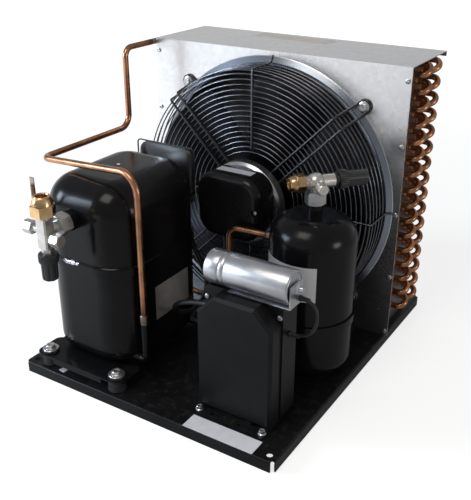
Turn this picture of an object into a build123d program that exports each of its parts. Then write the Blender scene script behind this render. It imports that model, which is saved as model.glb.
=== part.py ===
from build123d import *
import math
import os

# Air-cooled refrigeration condensing unit, in millimetres.
# Origin: centre of the four mounting holes, on the top face of the base deck.
# +X runs along the condenser, +Y from the compressor side to the condenser, +Z is up.

# --- base and sheet metal -------------------------------------------------
BASE_WIDTH = 440.0
BASE_DEPTH = 525.0
BASE_SHEET = 2.0
FLANGE_HEIGHT = 17.0
FLANGE_BEND = 3.0
CORNER_RELIEF = 5.5
MOUNT_HOLE_D = 9.0
MOUNT_SPACING_X = 414.0
MOUNT_SPACING_Y = 499.0

SHROUD_HALF_X = 224.0
SHROUD_HEIGHT = 434.0
SHROUD_SHEET = 1.2
SHROUD_FRONT_Y = 102.0
SHROUD_DEPTH = 145.0
REAR_LIP = 8.0
SCREW_X = 218.5
SCREW_HEIGHTS = (8.0, 106.0, 211.0, 318.0, 414.0)
SCREW_D = 4.0

# --- condenser coil -------------------------------------------------------
TUBE_D = 9.5
LEVELS = 16
LEVEL_PITCH = 25.4
ROW_PITCH = 19.05
FIRST_LEVEL_Z = 33.6
FIRST_ROW_Y = 147.0
FIN_MARGIN = 9.5
TUBE_SHEET_T = 1.2
TUBE_SHEET_X = 207.0
BEND_LEG = 11.0
TUBE_SIDES = 6
BEND_STEPS = 4

# --- fan ------------------------------------------------------------------
FAN_Z = 213.0
THROAT_R = 197.0
COLLAR_R = 214.0
COLLAR_HEIGHT = 5.0
THROAT_DEPTH = 8.0
BLADE_TIP_R = 188.0
BLADE_COUNT = 5
BLADE_FRONT_Y = 55.0
BLADE_SPAN_Y = 36.0
BLADE_SHEET = 2.0
HUB_R = 32.0
SHAFT_R = 4.0
SHAFT_CLEARANCE = 0.06
GUARD_FRONT_Y = 42.5
GUARD_R = 202.0
GUARD_INNER_R = 76.0
GUARD_PITCH = 8.0
WIRE = 2.2
RADIAL_WIRE = 2.8
SIDE_RING_PITCH = 12.0
ARM_ROD = 4.0
ARM_HALF_GAP = 9.5
ARM_EYE_R = 222.0
ARM_BEND_R = 207.0
ARM_LOOP_R = 11.5
GUARD_BOLT_FLANGE_R = 8.6
MOTOR_SHIELD_R = 67.0
MOTOR_COVER_W = 112.0
MOTOR_COVER_H = 102.0
MOTOR_COVER_Z = 221.0
MOTOR_COVER_CORNER = 30.0
MOTOR_COVER_FRONT_Y = -31.0
MOTOR_COVER_WALL = 2.0
SHIELD_FRONT_Y = 14.0

# --- compressor -----------------------------------------------------------
COMP_X = -117.0
COMP_Y = -131.5
COMP_HALF_X = 78.5
COMP_HALF_Y = 99.0
COMP_CORNER = 52.0
COMP_BOTTOM_Z = 21.0
COMP_SEAM_Z = 181.0
COMP_TOP_Z = 297.0
COMP_SHELL_T = 3.0
SEAM_BAND = 11.0
FOOT_HALF_X = 65.0
FOOT_HALF_Y = 111.0
FOOT_T = 3.0
GROMMET_H = 17.0
GROMMET_R = 14.0
FOOT_BOLT_R = 4.0
BOLT_CLEARANCE = 0.3

# --- receiver -------------------------------------------------------------
REC_X = 149.6
REC_Y = -33.9
REC_R = 63.0
REC_BOTTOM_Z = 8.0
REC_TOP_Z = 247.0
REC_SEAM_Z = 98.0
REC_WALL = 2.5
REC_VALVE_Z = 294.0
REC_VALVE_TURN = 49.0

# --- service connections --------------------------------------------------
SUCTION_X = -123.0
SUCTION_Y = -280.5
SUCTION_Z = 247.0
SUCTION_TUBE_R = 8.0
LIQUID_TUBE_R = 4.8
TUBE_FIT = 0.05
STEM_R = 4.5
STEM_CLEARANCE = 0.08

# --- electrical box -------------------------------------------------------
BOX_X = 128.0
BOX_FRONT_Y = -214.5
BOX_WIDTH = 118.0
BOX_HEIGHT = 178.0
BOX_BOTTOM_Z = 5.0
COVER_DEPTH = 26.0
BOX_DEPTH = 63.0
BOX_WALL = 2.2
BOX_CHAMFER = 27.0
CAP_R = 23.0
CAP_LENGTH = 124.5
CAP_X0 = 73.5
CAP_Y = -178.5
GAP = 0.3

os.makedirs("parts", exist_ok=True)


def save(node, *shapes):
    """Write one node; each shape stays a separate solid."""
    solids = [solid for shape in shapes for solid in shape.solids()]
    export_step(Compound(solids), f"parts/{node}.step")


def block(x0, x1, y0, y1, z0, z1):
    """Box between two corners."""
    return Pos((x0 + x1) / 2, (y0 + y1) / 2, (z0 + z1) / 2) * Box(x1 - x0, y1 - y0, z1 - z0)


def rod_z(x, y, z0, z1, r):
    """Upright round bar."""
    return Pos(x, y, (z0 + z1) / 2) * Cylinder(r, z1 - z0)


def rod_y(x, z, y0, y1, r):
    """Round bar along Y."""
    return Pos(x, (y0 + y1) / 2, z) * Rot(90, 0, 0) * Cylinder(r, y1 - y0)


def rod_x(y, z, x0, x1, r):
    """Round bar along X."""
    return Pos((x0 + x1) / 2, y, z) * Rot(0, 90, 0) * Cylinder(r, x1 - x0)


def hex_z(x, y, z0, z1, flats, turn=0.0):
    """Upright hexagonal bar, measured across its flats."""
    face = RegularPolygon(flats / 2, 6, major_radius=False)
    return Pos(x, y, z0) * Rot(0, 0, turn) * extrude(face, z1 - z0)


def turned(profile):
    """Solid of revolution about Z from (radius, height) points."""
    outline = Plane.XZ * make_face(Polyline(*profile, close=True))
    return revolve(outline, Axis.Z)


def tube(points, radii, r):
    """Round bar swept along straight runs joined by arcs."""
    path = FilletPolyline(*points, radius=radii)
    section = Plane(path @ 0, z_dir=path % 0) * Circle(r)
    return sweep(section, path=path)


def rounded_block(half_x, half_y, corner, z0, z1):
    """Upright prism with rounded corners, centred on the Z axis."""
    face = RectangleRounded(2 * half_x, 2 * half_y, corner)
    return Pos(0, 0, z0) * extrude(face, z1 - z0)


# --- base -----------------------------------------------------------------
COMP_BOLT_POINTS = [
    (COMP_X + sx * FOOT_HALF_X, COMP_Y + sy * FOOT_HALF_Y)
    for sx in (-1, 1)
    for sy in (-1, 1)
]
BRACKET_BOLT_POINTS = [(BOX_X + s * 50.4, BOX_FRONT_Y - 6.0) for s in (-1, 1)]
BRACKET_T = 2.0
BRACKET_BOLT_R = 3.0


def base_plate():
    half_x, half_y = BASE_WIDTH / 2, BASE_DEPTH / 2
    pan = block(-half_x, half_x, -half_y, half_y, -FLANGE_HEIGHT, 0)
    pan = fillet(pan.faces().sort_by(Axis.Z)[-1].edges(), FLANGE_BEND)
    inner_x, inner_y = half_x - BASE_SHEET, half_y - BASE_SHEET
    pan -= block(-inner_x, inner_x, -inner_y, inner_y, -FLANGE_HEIGHT, -BASE_SHEET)
    for sx in (-1, 1):
        for sy in (-1, 1):
            notch = Box(2 * CORNER_RELIEF, 2 * CORNER_RELIEF, 3 * FLANGE_HEIGHT)
            pan -= Pos(sx * half_x, sy * half_y, 0) * notch
            hole_x, hole_y = sx * MOUNT_SPACING_X / 2, sy * MOUNT_SPACING_Y / 2
            pan -= rod_z(hole_x, hole_y, -FLANGE_HEIGHT, 1, MOUNT_HOLE_D / 2)
    for x, y in COMP_BOLT_POINTS:
        pan -= rod_z(x, y, -FLANGE_HEIGHT, 1, FOOT_BOLT_R + BOLT_CLEARANCE)
    for x, y in BRACKET_BOLT_POINTS:
        pan -= rod_z(x, y, -FLANGE_HEIGHT, 1, BRACKET_BOLT_R + BOLT_CLEARANCE)
    return pan


save("base_plate", base_plate())


# --- shroud: one folded sheet with a formed inlet collar -------------------
EYE_POINTS = [
    (sx * ARM_EYE_R * math.cos(math.radians(45)), FAN_Z + sz * ARM_EYE_R * math.sin(math.radians(45)))
    for sx in (-1, 1)
    for sz in (-1, 1)
]
GUARD_BOLT_R = 3.0
SHROUD_BACK_Y = SHROUD_FRONT_Y + SHROUD_DEPTH


def collar():
    """Pressed ring around the fan opening, rolled back into a short throat."""
    t = SHROUD_SHEET
    crest = THROAT_R + 8
    front = COLLAR_HEIGHT
    outer = [
        (THROAT_R, -THROAT_DEPTH - t),
        (THROAT_R, front - 3),
        (THROAT_R + 3, front),
        (crest, front),
        (COLLAR_R, 0),
        (COLLAR_R, -t),
        (COLLAR_R - 2, -t),
        (crest - 0.5, front - t),
        (THROAT_R + 3.5, front - t),
        (THROAT_R + t, front - 3.5),
        (THROAT_R + t, -THROAT_DEPTH - t),
    ]
    ring_solid = Pos(0, SHROUD_FRONT_Y, FAN_Z) * Rot(90, 0, 0) * turned(outer)
    return ring_solid - block(-100, 100, SHROUD_FRONT_Y - 20, SHROUD_FRONT_Y + 20, -20, 0)


def shroud():
    half = SHROUD_HALF_X
    back = SHROUD_FRONT_Y + SHROUD_SHEET
    front = block(-half, half, SHROUD_FRONT_Y, back, 0, SHROUD_HEIGHT)
    front -= rod_y(0, FAN_Z, SHROUD_FRONT_Y - 1, back + 1, COLLAR_R - 1.0)
    for x, z in EYE_POINTS:
        front -= rod_y(x, z, SHROUD_FRONT_Y - 1, back + 1, GUARD_BOLT_R + 0.1)
    for sx in (-1, 1):
        for z in SCREW_HEIGHTS:
            front -= rod_y(sx * SCREW_X, z, SHROUD_FRONT_Y - 1, back + 1, SCREW_D / 2 + 0.1)
    top = block(-half, half, SHROUD_FRONT_Y, SHROUD_BACK_Y, SHROUD_HEIGHT - SHROUD_SHEET, SHROUD_HEIGHT)
    lip = block(
        -half, half, SHROUD_BACK_Y - SHROUD_SHEET, SHROUD_BACK_Y, SHROUD_HEIGHT - REAR_LIP, SHROUD_HEIGHT
    )
    return front + top + lip + collar()


save("shroud", shroud())

TUBE_SHEET_BACK_Y = FIRST_ROW_Y + 3 * ROW_PITCH + FIN_MARGIN
FLANGE_Y = SHROUD_FRONT_Y + SHROUD_SHEET


def shroud_screws():
    """Pan-head sheet-metal screws that hold the shroud to the coil's end plates."""
    screws = []
    for sx in (-1, 1):
        for z in SCREW_HEIGHTS:
            x = sx * SCREW_X
            head = rod_y(x, z, SHROUD_FRONT_Y - 2, SHROUD_FRONT_Y, SCREW_D)
            shank = rod_y(x, z, SHROUD_FRONT_Y, FLANGE_Y + TUBE_SHEET_T, SCREW_D / 2)
            screws.append(head + shank)
    return screws


save("shroud_screws", *shroud_screws())


# --- condenser coil --------------------------------------------------------
def tube_points():
    """(y, z, row) of every coil tube; odd rows sit half a pitch higher."""
    return [
        (FIRST_ROW_Y + row * ROW_PITCH, FIRST_LEVEL_Z + level * LEVEL_PITCH + (row % 2) * LEVEL_PITCH / 2, row)
        for row in range(4)
        for level in range(LEVELS)
    ]


def prism_x(y, z, x0, x1, r):
    """Coil tube drawn with few sides, along X."""
    face = RegularPolygon(r, TUBE_SIDES)
    return Pos(x0, y, z) * Rot(0, 90, 0) * extrude(face, x1 - x0)


COIL_TUBES = [prism_x(y, z, -TUBE_SHEET_X, TUBE_SHEET_X, TUBE_D / 2) for y, z, row in tube_points()]


def fin_pack():
    """Finned core between the end plates, pierced by every coil tube."""
    x = TUBE_SHEET_X - GAP
    low = FIRST_LEVEL_Z - 12.0
    high = SHROUD_HEIGHT - SHROUD_SHEET - GAP
    core = block(-x, x, FIRST_ROW_Y - FIN_MARGIN, TUBE_SHEET_BACK_Y, low, high)
    return core - COIL_TUBES


save("fin_pack", fin_pack())
save("condenser_tubes", *COIL_TUBES)


def tube_sheet(side):
    """End plate: pierced web with a front flange that the shroud screws into."""
    x0, x1 = sorted((side * TUBE_SHEET_X, side * (TUBE_SHEET_X + TUBE_SHEET_T)))
    f0, f1 = sorted((side * TUBE_SHEET_X, side * (SHROUD_HALF_X - 1)))
    top = SHROUD_HEIGHT - SHROUD_SHEET
    plate = block(x0, x1, FLANGE_Y, TUBE_SHEET_BACK_Y, 0, top)
    plate += block(f0, f1, FLANGE_Y, FLANGE_Y + TUBE_SHEET_T, 0, top)
    for z in SCREW_HEIGHTS:
        x = side * SCREW_X
        plate -= rod_y(x, z, FLANGE_Y - 1, FLANGE_Y + TUBE_SHEET_T + 1, SCREW_D / 2)
    return plate


save("tube_sheet_right", tube_sheet(1))
save("tube_sheet_left", tube_sheet(-1))


def return_bend(dy, dz):
    """U-shaped tube joining two coil tubes that lie dy, dz apart, first leg at the origin."""
    span = math.hypot(dy, dz)
    r = span / 2
    arc = [
        (BEND_LEG + r * math.sin(math.pi * i / BEND_STEPS), r - r * math.cos(math.pi * i / BEND_STEPS))
        for i in range(BEND_STEPS + 1)
    ]
    outline = [(0, 0)] + arc + [(0, span)]
    path = Polyline(*[(x, y, 0) for x, y in outline])
    section = Plane(origin=(0, 0, 0), x_dir=(0, 1, 0), z_dir=(1, 0, 0)) * RegularPolygon(TUBE_D / 2, TUBE_SIDES)
    bend = sweep(section, path=path, transition=Transition.RIGHT)
    return Rot(math.degrees(math.atan2(dz, dy)), 0, 0) * bend


def side_bends(side):
    """Return bends on one end plate, in rows 1-2 and 3-4: level with their tubes' pairs on
    the right, one step up on the left, so each pair of rows makes one climbing circuit."""
    x = TUBE_SHEET_X + TUBE_SHEET_T
    model = return_bend(side * ROW_PITCH, LEVEL_PITCH / 2)
    bends = []
    for row in (0, 2):
        y = FIRST_ROW_Y + (row if side > 0 else row + 1) * ROW_PITCH
        start_z = FIRST_LEVEL_Z if side > 0 else FIRST_LEVEL_Z + LEVEL_PITCH / 2
        for level in range(LEVELS if side > 0 else LEVELS - 1):
            bends.append(Pos(x, y, start_z + level * LEVEL_PITCH) * model)
    if side < 0:
        bends = [bend.mirror(Plane.YZ) for bend in bends]
    return bends


save("return_bends_right", *side_bends(1))
save("return_bends_left", *side_bends(-1))


# --- fan -------------------------------------------------------------------
def ring(r, y0, y1, sides):
    """Guard ring as a many-sided wire loop about the fan axis."""
    loop = RegularPolygon(r + WIRE / 2, sides) - RegularPolygon(r - WIRE / 2, sides)
    return Pos(0, y1, FAN_Z) * Rot(90, 0, 0) * extrude(loop, y1 - y0)


def fan_guard():
    """Welded wire cage: flat front of concentric rings, stacked side rings and four single radials."""
    wires = []
    count = int((GUARD_R - GUARD_INNER_R) // GUARD_PITCH)
    for i in range(count):
        r = GUARD_INNER_R + i * GUARD_PITCH
        wires.append(ring(r, GUARD_FRONT_Y, GUARD_FRONT_Y + WIRE, 24))
    rings_y = [GUARD_FRONT_Y + i * SIDE_RING_PITCH for i in range(5)]
    for y in rings_y:
        wires.append(ring(GUARD_R, y, y + WIRE, 32))
    w = RADIAL_WIRE
    outer = GUARD_R + WIRE / 2
    for turn in (0, 90, 180, 270):
        front = block(-w / 2, w / 2, GUARD_FRONT_Y - w, GUARD_FRONT_Y, GUARD_INNER_R + 6, outer + w)
        back_y = SHROUD_FRONT_Y - COLLAR_HEIGHT - GAP
        side = block(-w / 2, w / 2, GUARD_FRONT_Y, back_y, outer, outer + w)
        wires.append(Pos(0, 0, FAN_Z) * Rot(0, turn, 0) * (front + side))
    return wires


save("fan_guard", *fan_guard())


def guard_arm():
    """Pair of stout rods from the motor shield to a loop round one bolt, drawn along +X."""
    d = ARM_ROD
    y0, y1 = GUARD_FRONT_Y - d, GUARD_FRONT_Y
    seat = SHROUD_FRONT_Y - GAP
    bend, foot = ARM_BEND_R, ARM_EYE_R - 4
    slant = Polyline((bend - d, y0), (bend, y0), (foot, seat - d), (foot, seat), (foot - d, seat), (bend - d, y1), close=True)
    loop = rod_y(ARM_EYE_R, 0, seat - d, seat, ARM_LOOP_R)
    loop -= rod_y(ARM_EYE_R, 0, seat - d - 1, seat + 1, ARM_LOOP_R - d)
    loop -= block(0, ARM_EYE_R, 0, 200, -50, 50)
    arm = loop
    for s in (-1, 1):
        z = s * ARM_HALF_GAP
        arm += block(54, bend, y0, y1, z - d / 2, z + d / 2)
        arm += Pos(0, 0, z - d / 2) * extrude(make_face(slant), d)
        arm += block(foot - d, ARM_EYE_R + 1, seat - d, seat, z - d / 2, z + d / 2)
    return arm


def guard_arms():
    model = guard_arm()
    return [Pos(0, 0, FAN_Z) * Rot(0, turn, 0) * model for turn in (45, 135, 225, 315)]


save("guard_arms", *guard_arms())


def flange_bolt(r, head_flats, flange_r, length):
    """Hexagon flange bolt, head up, underside of the flange at z = 0."""
    flange = rod_z(0, 0, 0, 1.6, flange_r)
    head = hex_z(0, 0, 1.6, 6.0, head_flats)
    return flange + head + rod_z(0, 0, -length, 0, r)


def flange_bolts():
    """Four guard bolts through the eyes and two bolts of the box bracket."""
    bolt = flange_bolt(GUARD_BOLT_R, 10.0, GUARD_BOLT_FLANGE_R, ARM_ROD + GAP + SHROUD_SHEET)
    seat_y = SHROUD_FRONT_Y - GAP - ARM_ROD
    bolts = [Pos(x, seat_y, z) * Rot(90, 0, 0) * bolt for x, z in EYE_POINTS]
    short = flange_bolt(BRACKET_BOLT_R, 8.0, 5.7, BRACKET_T + BASE_SHEET)
    bolts += [Pos(x, y, BRACKET_T) * short for x, y in BRACKET_BOLT_POINTS]
    return bolts


save("flange_bolts", *flange_bolts())


COVER_SCREW_X = 48.0
COVER_SCREW_Z = 222.0
COVER_SCREW_SEAT_Y = -25.0


def motor_cover():
    """Crowned rounded-square cap over the motor windings, with a sunk seat for its screw."""
    depth = SHIELD_FRONT_Y - MOTOR_COVER_FRONT_Y
    wall = MOTOR_COVER_WALL
    outer = extrude(RectangleRounded(MOTOR_COVER_W, MOTOR_COVER_H, MOTOR_COVER_CORNER), depth)
    outer = fillet(outer.faces().sort_by(Axis.Z)[-1].edges(), 11.0)
    inner = extrude(
        RectangleRounded(MOTOR_COVER_W - 2 * wall, MOTOR_COVER_H - 2 * wall, MOTOR_COVER_CORNER - wall),
        depth - wall,
    )
    inner = chamfer(inner.faces().sort_by(Axis.Z)[-1].edges(), 6.0)
    outer = Pos(0, SHIELD_FRONT_Y, MOTOR_COVER_Z) * Rot(90, 0, 0) * outer
    inner = Pos(0, SHIELD_FRONT_Y, MOTOR_COVER_Z) * Rot(90, 0, 0) * inner
    post = rod_y(COVER_SCREW_X, COVER_SCREW_Z, MOTOR_COVER_FRONT_Y, SHIELD_FRONT_Y, 6.5)
    cover = (outer - inner) + (post & outer)
    cover -= rod_y(COVER_SCREW_X, COVER_SCREW_Z, MOTOR_COVER_FRONT_Y - 5, COVER_SCREW_SEAT_Y, 5.0)
    return cover - rod_y(COVER_SCREW_X, COVER_SCREW_Z, MOTOR_COVER_FRONT_Y - 5, SHIELD_FRONT_Y, 2.1)


save("motor_cover", motor_cover())


def motor_shield():
    """Spun aluminium end shield with the bearing boss; the cover and the arms seat on it."""
    back = GUARD_FRONT_Y - ARM_ROD - SHIELD_FRONT_Y
    profile = [
        (SHAFT_R + SHAFT_CLEARANCE, 0),
        (MOTOR_SHIELD_R - 4, 0),
        (MOTOR_SHIELD_R, 4),
        (MOTOR_SHIELD_R, back - 6),
        (MOTOR_SHIELD_R - 4, back),
        (24, back),
        (20, back + 8),
        (SHAFT_R + SHAFT_CLEARANCE, back + 8),
    ]
    shield = Pos(0, SHIELD_FRONT_Y, FAN_Z) * Rot(-90, 0, 0) * turned(profile)
    return shield - rod_y(COVER_SCREW_X, COVER_SCREW_Z, SHIELD_FRONT_Y - 1, SHIELD_FRONT_Y + 10, 2.0)


save("motor_shield", motor_shield())

STATOR_Y0 = SHIELD_FRONT_Y - 26.0
ROTOR_R = 22.0


def fan_motor_stator():
    """Laminated square stack with a round bore, bolted to the shield."""
    stack = extrude(RectangleRounded(76, 76, 12), SHIELD_FRONT_Y - STATOR_Y0)
    stack = Pos(0, SHIELD_FRONT_Y, FAN_Z) * Rot(90, 0, 0) * stack
    return stack - rod_y(0, FAN_Z, STATOR_Y0 - 1, SHIELD_FRONT_Y + 1, ROTOR_R + 0.5)


save("fan_motor_stator", fan_motor_stator())
HUB_Y0 = BLADE_FRONT_Y - 2.0
HUB_Y1 = BLADE_FRONT_Y + BLADE_SPAN_Y
save("fan_motor_shaft", rod_y(0, FAN_Z, STATOR_Y0 - 4, HUB_Y1, SHAFT_R))
fan_rotor = rod_y(0, FAN_Z, STATOR_Y0 + 0.5, SHIELD_FRONT_Y - 0.5, ROTOR_R)
save("fan_rotor", fan_rotor - rod_y(0, FAN_Z, STATOR_Y0 - 1, SHIELD_FRONT_Y + 1, SHAFT_R))


def blade_section(radius, chord, pitch_deg):
    """Cambered blade section at one radius: leading and trailing edge joined by two arcs."""
    camber = chord * 0.09
    t = BLADE_SHEET / 2
    lead, trail = (-chord / 2, 0), (chord / 2, 0)
    top = ThreePointArc((lead[0], t), (0, camber + t), (trail[0], t))
    low = ThreePointArc((lead[0], -t), (0, camber - t), (trail[0], -t))
    edges = [top, low, Line((lead[0], -t), (lead[0], t)), Line((trail[0], -t), (trail[0], t))]
    face = make_face(edges)
    plane = Plane(origin=(radius, 0, 0), x_dir=(0, 0, 1), z_dir=(1, 0, 0))
    return plane * Rot(0, 0, pitch_deg) * face


def fan_blades():
    """Hub with swept, twisted blades: sections shrink in pitch towards the tip."""
    sections = [
        blade_section(HUB_R * 0.7, 46, 38),
        blade_section(HUB_R * 0.7 + 70, 92, 27),
        blade_section(BLADE_TIP_R + 6, 128, 17),
    ]
    blade = loft(sections, ruled=False)
    limit = Rot(90, 0, 0) * Cylinder(BLADE_TIP_R, 3 * BLADE_SPAN_Y)
    blade = blade & limit
    hub = rod_y(0, 0, -BLADE_SPAN_Y / 2 - 2, BLADE_SPAN_Y / 2, HUB_R)
    fan = hub
    for i in range(BLADE_COUNT):
        fan += Rot(0, i * 360 / BLADE_COUNT, 0) * blade
    fan -= rod_y(0, 0, -BLADE_SPAN_Y, BLADE_SPAN_Y, SHAFT_R)
    return Pos(0, BLADE_FRONT_Y + BLADE_SPAN_Y / 2, FAN_Z) * fan


save("fan_blades", fan_blades())


# --- compressor ------------------------------------------------------------
def at_comp(shape):
    return Pos(COMP_X, COMP_Y, 0) * shape


def lower_shell():
    """Drawn pot with a joggled lip that takes the upper shell."""
    t = COMP_SHELL_T
    pot = rounded_block(COMP_HALF_X, COMP_HALF_Y, COMP_CORNER, COMP_BOTTOM_Z, COMP_SEAM_Z)
    pot = fillet(pot.faces().sort_by(Axis.Z)[0].edges(), 24.0)
    lip = rounded_block(
        COMP_HALF_X + t, COMP_HALF_Y + t, COMP_CORNER + t, COMP_SEAM_Z - SEAM_BAND, COMP_SEAM_Z
    )
    inner = rounded_block(
        COMP_HALF_X - t, COMP_HALF_Y - t, COMP_CORNER - t, COMP_BOTTOM_Z + t, COMP_SEAM_Z
    )
    inner = chamfer(inner.faces().sort_by(Axis.Z)[0].edges(), 14.0)
    socket = rounded_block(
        COMP_HALF_X, COMP_HALF_Y, COMP_CORNER, COMP_SEAM_Z - SEAM_BAND + t, COMP_SEAM_Z
    )
    return pot + lip - inner - socket


def upper_shell():
    """Drawn dome that stands inside the lip of the lower shell."""
    t = COMP_SHELL_T
    base_z = COMP_SEAM_Z - SEAM_BAND + t
    dome = rounded_block(COMP_HALF_X, COMP_HALF_Y, COMP_CORNER, base_z, COMP_TOP_Z)
    dome = fillet(dome.faces().sort_by(Axis.Z)[-1].edges(), 45.0)
    inner = rounded_block(
        COMP_HALF_X - t, COMP_HALF_Y - t, COMP_CORNER - t, base_z, COMP_TOP_Z - t
    )
    inner = chamfer(inner.faces().sort_by(Axis.Z)[-1].edges(), 26.0)
    return dome - inner


def weld_seam():
    """Fillet weld that closes the lip against the dome."""
    bead = 2.2
    outer = rounded_block(COMP_HALF_X + bead, COMP_HALF_Y + bead, COMP_CORNER + bead, COMP_SEAM_Z, COMP_SEAM_Z + bead)
    inner = rounded_block(COMP_HALF_X, COMP_HALF_Y, COMP_CORNER, COMP_SEAM_Z, COMP_SEAM_Z + bead)
    weld = outer - inner
    rim = weld.faces().sort_by(Axis.Z)[-1].outer_wire().edges()
    return chamfer(rim, bead * 0.6)


SPUD_Z = SUCTION_Z
SPUD_R = 15.0
SPUD_OUT = 12.0
SHELL_FRONT_Y = COMP_Y - COMP_HALF_Y
BORE_R = 9.0
PROCESS_X = -170.0
PROCESS_Z = 262.0
PROCESS_R = 3.2
suction_port = rod_y(SUCTION_X, SPUD_Z, SHELL_FRONT_Y - 20, SHELL_FRONT_Y + 30, BORE_R)
DISCHARGE_X = COMP_X + COMP_HALF_X + 10.5
DISCHARGE_Y = -202.5
DISCHARGE_Z = 36.0

shell_low = at_comp(lower_shell())
shell_up = at_comp(upper_shell())
spud = rod_y(SUCTION_X, SPUD_Z, SHELL_FRONT_Y - SPUD_OUT, SHELL_FRONT_Y + 1.5, SPUD_R)
stub_hole = rod_x(DISCHARGE_Y, DISCHARGE_Z, COMP_X + 50, COMP_X + 90, 4.8 + 0.8 + TUBE_FIT)
save("compressor_lower_shell", shell_low - stub_hole)
process_hole = rod_y(PROCESS_X, PROCESS_Z, SHELL_FRONT_Y - 10, SHELL_FRONT_Y + 30, PROCESS_R + TUBE_FIT)
save("compressor_upper_shell", shell_up + spud - suction_port - process_hole)
save("compressor_weld", at_comp(weld_seam()))


def compressor_feet():
    """Front and rear foot rails under the shell, with a stiffening front flange."""
    rails = []
    for sy in (-1, 1):
        y = COMP_Y + sy * FOOT_HALF_Y
        inner_y = COMP_Y + sy * (COMP_HALF_Y - 26)
        y0, y1 = sorted((y + sy * 15, inner_y))
        top = COMP_BOTTOM_Z
        rail = block(COMP_X - FOOT_HALF_X - 18, COMP_X + FOOT_HALF_X + 18, y0, y1, top - FOOT_T, top)
        rail = fillet(rail.edges().filter_by(Axis.Z), 12.0)
        f0, f1 = sorted((y + sy * 15, y + sy * (15 - FOOT_T)))
        rail += block(COMP_X - FOOT_HALF_X + 18, COMP_X + FOOT_HALF_X - 18, f0, f1, top - 10, top)
        for sx in (-1, 1):
            hole = rod_z(COMP_X + sx * FOOT_HALF_X, y, 0, top + 1, GROMMET_R - 4)
            rail -= hole
        rails.append(rail)
    return rails


save("compressor_feet", *compressor_feet())

FOOT_TOP_Z = COMP_BOTTOM_Z
SLEEVE_R = FOOT_BOLT_R + 1.0


def grommet():
    """Rubber isolator: thick below the foot, necked through its hole, capped above."""
    profile = [
        (SLEEVE_R, 0),
        (GROMMET_R, 0),
        (GROMMET_R, FOOT_TOP_Z - FOOT_T - GAP),
        (GROMMET_R - 4.5, FOOT_TOP_Z - FOOT_T - GAP),
        (GROMMET_R - 4.5, FOOT_TOP_Z + GAP),
        (GROMMET_R - 1, FOOT_TOP_Z + GAP),
        (GROMMET_R - 1, FOOT_TOP_Z + 3),
        (SLEEVE_R, FOOT_TOP_Z + 3),
    ]
    return turned(profile)


def foot_bolt():
    """Hexagon bolt standing in the isolator's sleeve."""
    z = FOOT_TOP_Z + 3 + 2.0
    return hex_z(0, 0, z, z + 5.3, 13.0) + rod_z(0, 0, -BASE_SHEET, z, FOOT_BOLT_R)


def foot_washer():
    z = FOOT_TOP_Z + 3
    return rod_z(0, 0, z, z + 2.0, 12.0) - rod_z(0, 0, z - 1, z + 3, FOOT_BOLT_R)


save("compressor_grommets", *[Pos(x, y, 0) * grommet() for x, y in COMP_BOLT_POINTS])
foot_hardware = [Pos(x, y, 0) * foot_bolt() for x, y in COMP_BOLT_POINTS]
foot_hardware += [Pos(x, y, 0) * foot_washer() for x, y in COMP_BOLT_POINTS]
save("compressor_bolts", *foot_hardware)

# Running gear, sealed inside the shells.
PUMP_Z = 205.0
STACK_Z0 = 62.0
STACK_Z1 = 132.0
STATOR_HALF = 68.0
COMP_ROTOR_R = 33.0
CRANK_R = 9.0
CRANK_THROW = 8.0
CRANK_PIN_R = 8.0
PISTON_R = 20.0


def compressor_stator():
    """Laminated motor stack, hung below the pump block."""
    stack = rounded_block(STATOR_HALF, STATOR_HALF, 20, STACK_Z0, STACK_Z1)
    return stack - rod_z(0, 0, STACK_Z0 - 1, STACK_Z1 + 1, COMP_ROTOR_R + 0.6)


def crankshaft():
    shaft = rod_z(0, 0, STACK_Z0 - 6, PUMP_Z - 14, CRANK_R)
    web = rod_z(0, 0, PUMP_Z - 14, PUMP_Z - 9, CRANK_R + CRANK_THROW)
    pin = rod_z(0, CRANK_THROW, PUMP_Z - 9, PUMP_Z + 10, CRANK_PIN_R)
    return shaft + web + pin


def cylinder_block():
    """Cast pump frame: main bearing over the motor and the cylinder towards +Y."""
    plate = rounded_block(STATOR_HALF - 6, STATOR_HALF - 6, 18, STACK_Z1 + 8, STACK_Z1 + 22)
    bearing = rod_z(0, 0, STACK_Z1 + 8, PUMP_Z - 14 - GAP, CRANK_R + 12)
    barrel = rod_y(0, PUMP_Z, 38, 78, PISTON_R + 9)
    web = block(-20, 20, 40, 60, STACK_Z1 + 20, PUMP_Z - 10)
    legs = None
    for sx in (-1, 1):
        for sy in (-1, 1):
            leg = rod_z(sx * 52, sy * 52, STACK_Z1, STACK_Z1 + 10, 7)
            legs = leg if legs is None else legs + leg
    frame = plate + bearing + barrel + web + legs
    frame -= rod_z(0, 0, STACK_Z1, PUMP_Z, CRANK_R + SHAFT_CLEARANCE)
    return frame - rod_y(0, PUMP_Z, 30, 74, PISTON_R + 0.05)


def piston():
    return rod_y(0, PUMP_Z, 44, 72, PISTON_R) - rod_y(0, PUMP_Z, 40, 60, PISTON_R - 6)


def connecting_rod():
    """Rod with an eye wide enough for the crank pin's whole circle."""
    eye_r = CRANK_THROW + CRANK_PIN_R + 1.0
    eye = rod_z(0, 0, PUMP_Z - 5, PUMP_Z + 5, eye_r + 5) - rod_z(0, 0, PUMP_Z - 6, PUMP_Z + 6, eye_r)
    beam = block(-4, 4, eye_r + 2, 60, PUMP_Z - 4, PUMP_Z + 4)
    return eye + beam


def suspension_springs():
    """Four springs under the stack, drawn as sleeves of the coils' inside and outside size."""
    floor = COMP_BOTTOM_Z + COMP_SHELL_T
    sleeve = turned([(5, floor), (7.5, floor), (7.5, STACK_Z0), (5, STACK_Z0)])
    return [Pos(sx * 46, sy * 50, 0) * sleeve for sx in (-1, 1) for sy in (-1, 1)]


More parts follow.
